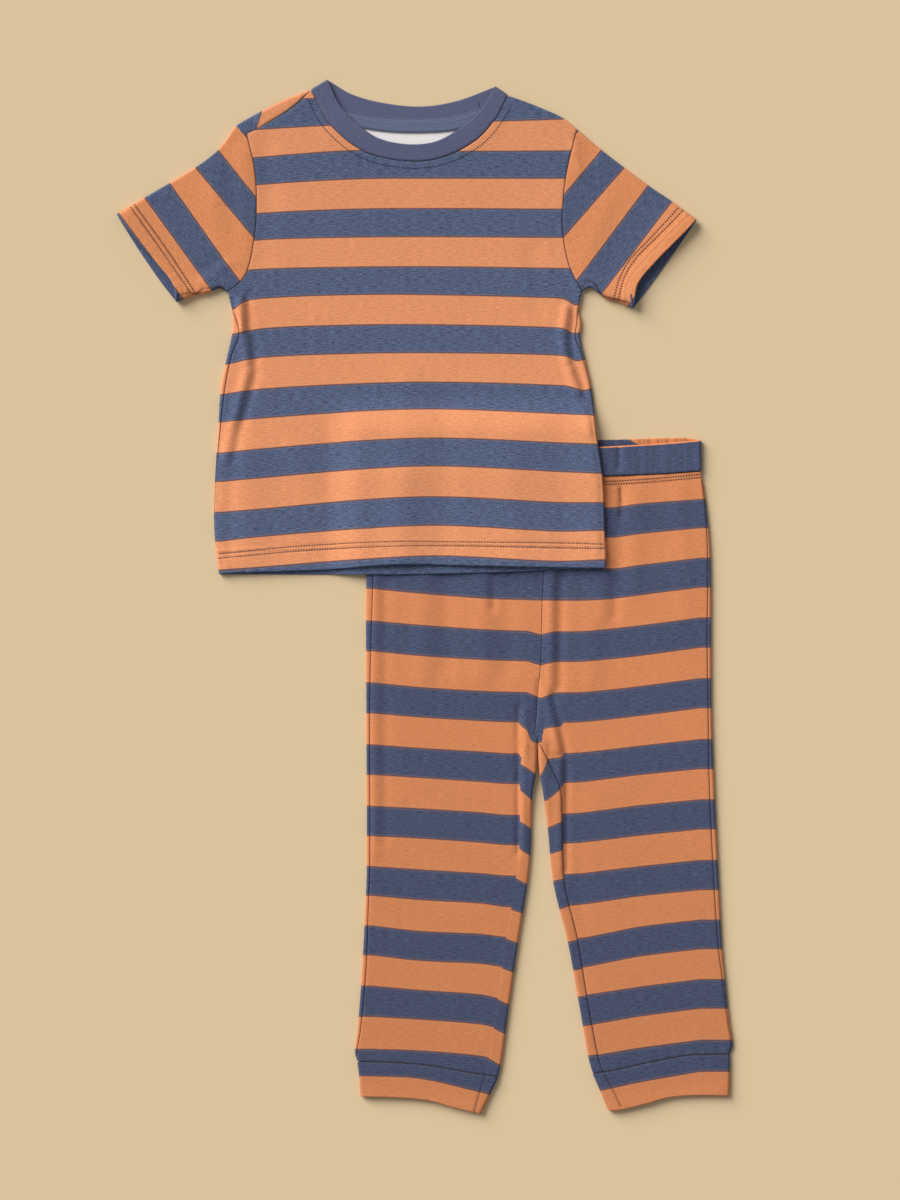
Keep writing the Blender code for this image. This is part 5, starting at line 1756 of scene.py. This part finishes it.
    def sew(self) -> None:
        """The rows of stitches."""
        navy, on_top, skin = NAVY_THREAD.make(), 0.15, self.lay.skin
        back = [[(x, up - self.back_rows) for x, up in knots] for knots in TOP_HEM_ROWS]
        paths = [skin(TOP.line(*knots), self.wall, on_top) for knots in TOP_HEM_ROWS]
        paths += [skin(TOP.line(*knots), self.wall, BELOW, Layer.LOWER) for knots in back]
        Stitches().sew("hem_stitches", paths, navy)
        paths = [skin(TOP.line(*knots), self.wall, lift, layer) for knots in SLEEVE_HEM_ROWS
                 for layer, lift in ((Layer.UPPER, on_top), (Layer.LOWER, BELOW))]
        Stitches().sew("sleeve_stitches", paths, navy)
        line = TOP.line(*FRONT_NECKLINE).offset(-self.neck_row).part(0.03, 0.97)
        join = TOP.line(*BAND_JOIN)
        paths = [skin(line, self.wall, 0.1), skin(join, self.rib_wall, -self.rib_wall, Layer.LOWER)]
        Stitches(pitch=2.0).sew("neck_stitches", paths, navy)

        inside = -(self.wall + self.tape_gap + self.tape_wall) - 0.1
        top = TOP.line(*TAPE_TOP)
        row = Line(top.points - (0.0, TAPE_DEPTH - 1.2))
        paths = [skin(row, self.wall, inside, Layer.LOWER)]
        Stitches(pitch=2.4, length=1.8, width=0.5).sew("tape_stitches", paths, navy, "neck_tape")
        zigzag = top.at(np.linspace(0.005, 0.995, int(top.length / 1.1))) - (0.0, 1.2)
        zigzag[::2, 1] -= 1.1
        paths = [skin(Line(zigzag), self.wall, inside, Layer.LOWER, 0.55)]
        small = Stitches(pitch=1.1, length=1.0, width=0.45)
        small.sew("tape_zigzag", paths, PALE_THREAD.make(), "neck_tape")

        rolls = [skin(TOP.line(*knots), self.wall, 0.2, step=0.6) for knots in OVERLOCK_ENDS]
        Stitches(pitch=0.6, length=0.9, width=1.7).sew("sleeve_overlock", rolls, OVERLOCK_THREAD.make())

    def build(self) -> None:
        """The whole top."""
        self.make_body()
        self.make_sleeves()
        self.make_neck()
        self.sew()


def tube(lay: Lay, folds: Sequence[Line], halves: Sequence[tuple[Border, Border]], wall: float,
         **sizes: float) -> Grid:
    """Lay a flattened tube.

    Args:
        lay: How it lies.
        folds: Its folds at the left and the right.
        halves: The bottom and top borders of its upper and its lower half.
        wall: The cloth's thickness.
        sizes: Other sizes of its panels.

    Returns:
        Its points.
    """
    sides = [Border.of(Stretch(fold, fold, 1.0), kind=Edge.JOIN) for fold in folds]
    upper = Panel(lay, Layer.UPPER, (*halves[0], *sides), wall, **sizes)
    lower = Panel(lay, Layer.LOWER, (*halves[1], *sides), wall, like=upper, **sizes)
    return upper.grid().with_lower(lower.grid())


@dataclass
class Trousers:
    """The trousers: four leg panels, a waistband and two cuffs."""

    wall: float = 1.2  # the jersey's thickness
    casing_wall: float = 2.0  # the waistband's thickness
    rib_wall: float = 1.6  # the cuffs' thickness
    loft: float = 1.4  # half the height between the layers
    casing_loft: float = 1.7  # the same at the waistband
    cuff_loft: float = 1.5  # the same at the cuffs
    crotch: tuple[float, float] = (216.0, 292.0)  # where its folds shift the stripes
    crotch_fade: float = 10.0  # the distance over which that begins and ends
    change: float = 71.2  # where the stripe changes inside the waistband
    change_lean: float = 2.0  # how far the change moves across for each millimetre down

    def __post_init__(self) -> None:
        """Set up the lines and the lays."""
        line = TROUSERS.line
        self.cuff_seams = line(*LEFT_CUFF_SEAM), line(*RIGHT_CUFF_SEAM)
        self.left_outer = self.leg_lines(LEFT_OUTER, 1.0, self.cuff_seams[0])
        self.left_inner = self.leg_lines(LEFT_INNER, -1.0, self.cuff_seams[0])
        self.right_inner = self.leg_lines(RIGHT_INNER, 1.0, self.cuff_seams[1])
        self.right_outer = self.leg_lines(RIGHT_OUTER, -1.0, self.cuff_seams[1])
        self.cuff_folds = [line(*knots) for knots in (LEFT_CUFF_OUTER, LEFT_CUFF_INNER,
                                                      RIGHT_CUFF_INNER, RIGHT_CUFF_OUTER)]
        self.waist_folds = [line(LEFT_WAIST_SEAM[0], BACK_WAIST[0]),
                            line(RIGHT_WAIST_SEAM[-1], BACK_WAIST[-1])]
        self.waist_seams = line(*LEFT_WAIST_SEAM), line(*RIGHT_WAIST_SEAM)
        outline = Outline(
            (self.waist_folds[0].reversed(), self.left_outer[0].reversed(), self.cuff_folds[0]),
            (self.cuff_folds[1].reversed(), self.left_inner[0], self.right_inner[0].reversed(),
             self.cuff_folds[2]),
            (self.cuff_folds[3].reversed(), self.right_outer[0], self.waist_folds[1]),
        )
        grooves = [Groove(line(*knots), 1.0, 0.35, 0.6) for knots in TROUSER_INNER_SEAMS]
        grooves += [Groove(line(*knots), 0.8, 0.2, 0.2) for knots in WAIST_ROWS]
        # The pleat's dark line is painted shadow.
        grooves += [Groove(line(*knots), 1.3, 1.0, 1.0) for knots in PLEATS]
        mouths = TROUSERS.creases(TROUSER_MOUTHS)
        self.lay = Lay(outline, self.base, self.loft, TROUSERS.creases(TROUSER_CREASES), mouths, grooves)
        self.casing_lay = Lay(outline, self.base, self.casing_loft, TROUSERS.creases(WAIST_CREASES))
        self.cuff_lay = Lay(outline, self.base, self.cuff_loft, (), mouths, grooves)
        self.jersey = TROUSER_JERSEY.make()
        self.stripes = Stripes(TROUSER_STATIONS, TROUSER_STRIPES)

    def leg_lines(self, rows: Pairs, inward: float, cuff_seam: Line) -> tuple[Line, Line]:
        """Draw one edge of a leg.

        Args:
            rows: Its heights.
            inward: 1 where the leg is to the right of the edge, -1 where it is to the left.
            cuff_seam: The seam of its cuff.

        Returns:
            The fold, and the seam beside it, which runs from the cuff's seam up.
        """
        rows = [Leg(*row) for row in rows[::-1]]
        share = rows[0].inset / cuff_seam.length
        seam = [(row.edge + inward * row.inset, row.down) for row in rows]
        seam[0] = TROUSERS.local(cuff_seam.at([share if inward > 0 else 1 - share])[0])
        return TROUSERS.line(*[(row.edge, row.down) for row in rows]), TROUSERS.line(*seam)

    @staticmethod
    def base(plan: Points) -> Points:
        """The height that the trousers rest on."""
        return np.zeros(len(plan))

    def crotch_shift(self, across: Points, down: Points, left: bool) -> Points:
        """How far down the front's stripes lie beside the centre seam and on the folds at the crotch.

        Args:
            across: How far right of the centre line each point is.
            down: How far down from the waist it is.
            left: Whether the points are on the left leg.

        Returns:
            The shifts.
        """
        beside = np.clip(1.0 - np.abs(across - 0.5) / 11.0, 0.0, 1.0)
        folds = np.interp(across, *np.transpose(CROTCH_SHIFTS[0 if left else 1]))
        start, end = self.crotch
        at_crotch = smooth((down - start) / self.crotch_fade) * smooth((end - down) / self.crotch_fade)
        return np.interp(down, *np.transpose(CENTRE_DIPS)) * beside + at_crotch * folds

    def leg_coat(self, layer: Layer, inner: int, grid: Grid, inside: bool) -> Coat:
        """What a leg panel carries.

        Args:
            layer: Its layer.
            inner: The number of the border at the inner leg.
            grid: Its points.
            inside: Whether this is its inner face.

        Returns:
            The coat.
        """
        across, down = np.moveaxis(TROUSERS.local(grid.plan), -1, 0)
        dark = 0.0
        if layer is Layer.UPPER:
            shift = self.crotch_shift(across, down, inner == 3)
            dark = self.lay.darkness(grid)
        else:
            starts, offsets, slopes = np.transpose(STRIP_SHIFTS[3 - inner])
            towards = smooth((grid.across if inner == 3 else 1.0 - grid.across) * 2.0)
            past = np.minimum(grid.ends[..., inner], 13.0)
            shift = np.interp(down, starts, offsets) + np.interp(down, starts, slopes) * past
            shift = shift * smooth((down - 228.0) / 16.0) * towards
        stripe = self.stripes.number(np.stack([across, down - shift], axis=-1))
        return jersey_coat(grid, inside, stripe, across, dark, 0.0)

    def cuff_coat(self, grid: Grid, inside: bool) -> Coat:
        """What a cuff carries, which is turned up to its seam inside."""
        local = TROUSERS.local(grid.plan)
        stripe = self.stripes.number(local)
        return jersey_coat(grid, inside, stripe, local[..., 0], self.lay.darkness(grid), step=2.0 / PITCH)

    def waist_coat(self, grid: Grid, inside: bool) -> Coat:
        """What the waistband carries: blue with an orange edge, and inside a slanting change of stripe with
        painted shade in its gathers.

        Args:
            grid: Its points.
            inside: Whether this is its inner face.

        Returns:
            The coat.
        """
        x, down = np.moveaxis(TROUSERS.local(grid.plan), -1, 0)
        stripe = (x - self.change - self.change_lean * down) / 20.0 if inside else (
            0.9 * smooth((1.5 - grid.away(Edge.FREE)) / 0.7) - 0.5)
        # Painted shade on the inner face, in waves, standing in for the shadow in the gathers.
        dark = 0.32 * inside * np.clip(0.5 + np.sin(x * 1.3 + 2.0 * np.sin(x * 0.45)), 0.0, 1.0)
        made = jersey_coat(grid, inside, np.clip(stripe, -0.9, 0.9), x, dark)
        return made._replace(weave=np.stack([x, down, 0 * dark], axis=-1))

    def make_legs(self) -> None:
        """The four leg panels."""
        for layer, word, centre in ((Layer.UPPER, "front", CENTRE_SEAM),
                                    (Layer.LOWER, "back", CENTRE_BACK_SEAM)):
            rise = Stretch(TROUSERS.line(*centre).reversed(), None, 10.0)
            for k, hand in enumerate(("left", "right")):
                inner = Stretch(*(self.left_inner, self.right_inner)[k], 13.0)
                outer = Border.of(Stretch(*(self.left_outer, self.right_outer)[k], 1.0), dark=(0.2, 0.5)[k])
                # The centre seam is drawn by the right leg alone.
                inside = Border.of(inner, rise, **({} if k else {"dark": 0.0, "gap": 0.02}))
                sides = (inside, outer) if k else (outer, inside)
                west, east = ((LEFT_OUTER, LEFT_INNER), (RIGHT_INNER, RIGHT_OUTER))[k]
                west, east = Leg(*west[-1]), Leg(*east[-1])
                cuff = self.cuff_seams[k]
                if layer is Layer.UPPER:
                    cuff = cuff.part(west.inset / cuff.length, 1.0 - east.inset / cuff.length)
                borders = (Border.of(cuff), Border.of(self.waist_seams[k], dark=0.35), *sides)
                grid = Panel(self.lay, layer, borders, self.wall, layer is Layer.LOWER,
                             2.0 if layer is Layer.UPPER else 3.0).grid()
                Piece(f"trouser_{word}_{hand}", grid, self.wall, self.jersey,
                      partial(self.leg_coat, layer, 3 - k)).build()

    def make_waistband(self) -> None:
        """The waistband, a flattened tube."""
        halves = [(Border.of(*self.waist_seams, dark=0.35),
                   Border.of(TROUSERS.line(*edge), kind=Edge.FREE)) for edge in (FRONT_WAIST, BACK_WAIST)]
        grid = tube(self.casing_lay, self.waist_folds, halves, self.casing_wall, spacing=1.5)
        Piece("waistband", grid, self.casing_wall, self.jersey, self.waist_coat, gathers=0.14).build()

    def make_cuffs(self) -> None:
        """The cuffs, each a flattened tube."""
        for k, (name, edge) in enumerate((("cuff_left", LEFT_CUFF_EDGE), ("cuff_right", RIGHT_CUFF_EDGE))):
            half = (Border.of(self.cuff_seams[k]), Border.of(TROUSERS.line(*edge), kind=Edge.FREE))
            folds = self.cuff_folds[2 * k:2 * k + 2]
            grid = tube(self.cuff_lay, folds, (half, half), self.rib_wall, spacing=1.0)
            Piece(name, grid, self.rib_wall, self.jersey, self.cuff_coat).build()

    def sew(self) -> None:
        """The rows of stitches under the waistband."""
        paths = [self.lay.skin(TROUSERS.line(*knots), self.wall, lift, layer) for knots in WAIST_ROWS
                 for layer, lift in ((Layer.UPPER, 0.1), (Layer.LOWER, BELOW))]
        Stitches().sew("waist_stitches", paths, NAVY_THREAD.make())

    def build(self) -> None:
        """The whole trousers."""
        self.make_legs()
        self.make_waistband()
        self.make_cuffs()
        self.sew()


@dataclass(frozen=True)
class Studio:
    """The floor, the light and the camera."""

    floor: Paint = paint(218, 194, 156)  # the floor's colour
    key: float = 0.68  # the strength of the main light on the floor, of 1 in all
    height: float = 31.0  # how high the main light stands, in degrees
    compass: float = 137.0  # where it comes from, in degrees from +X
    softness: float = 42.0  # how wide it looks, in degrees
    centre: tuple[float, float] = (20.36, -2.5)  # the middle of the picture in millimetres
    tall: float = 960.0  # the height of the picture in millimetres
    distance: float = 3.0  # how far off the camera is, in metres
    reach: float = 9.0  # how far the floor goes on each side, in metres
    sunk: float = 0.00005  # how far below the cloth the floor lies, in metres

    def build(self) -> None:
        """Set the studio up."""
        far = self.reach
        corners = np.array([(-far, -far), (far, -far), (far, far), (-far, far)])
        corners = np.column_stack([corners, np.full(4, -self.sunk)])
        paper = Thread("floor paper", self.floor, roughness=1.0).make()
        new_mesh("floor", corners, np.array([[0, 1, 2, 3]]), paper)

        lamp = bpy.data.lights.new("soft key", "SUN")
        lamp.energy = self.key * math.pi / math.sin(math.radians(self.height))
        lamp.angle = math.radians(self.softness)
        sun = bpy.data.objects.new("soft key", lamp)
        sun.rotation_euler = (0.0, math.radians(90.0 - self.height), math.radians(self.compass))
        bpy.context.collection.objects.link(sun)
        world = bpy.data.worlds.new("soft room")
        world.use_nodes = True
        ground = world.node_tree.nodes["Background"]
        ground.inputs["Color"].default_value = (1.0, 1.0, 1.0, 1.0)
        ground.inputs["Strength"].default_value = 1.0 - self.key
        bpy.context.scene.world = world

        lens = bpy.data.cameras.new("camera")
        lens.lens = lens.sensor_width * self.distance / (self.tall * MM)
        camera = bpy.data.objects.new("camera", lens)
        camera.location = (self.centre[0] * MM, self.centre[1] * MM, self.distance)
        bpy.context.collection.objects.link(camera)
        bpy.context.scene.camera = camera
        bpy.context.scene.view_settings.view_transform = "Standard"


def main() -> None:
    """Build the set and the studio."""
    logging.basicConfig(level=logging.INFO, format="%(message)s")
    Top().build()
    Trousers().build()
    Studio().build()


if __name__ == "__main__":
    main()
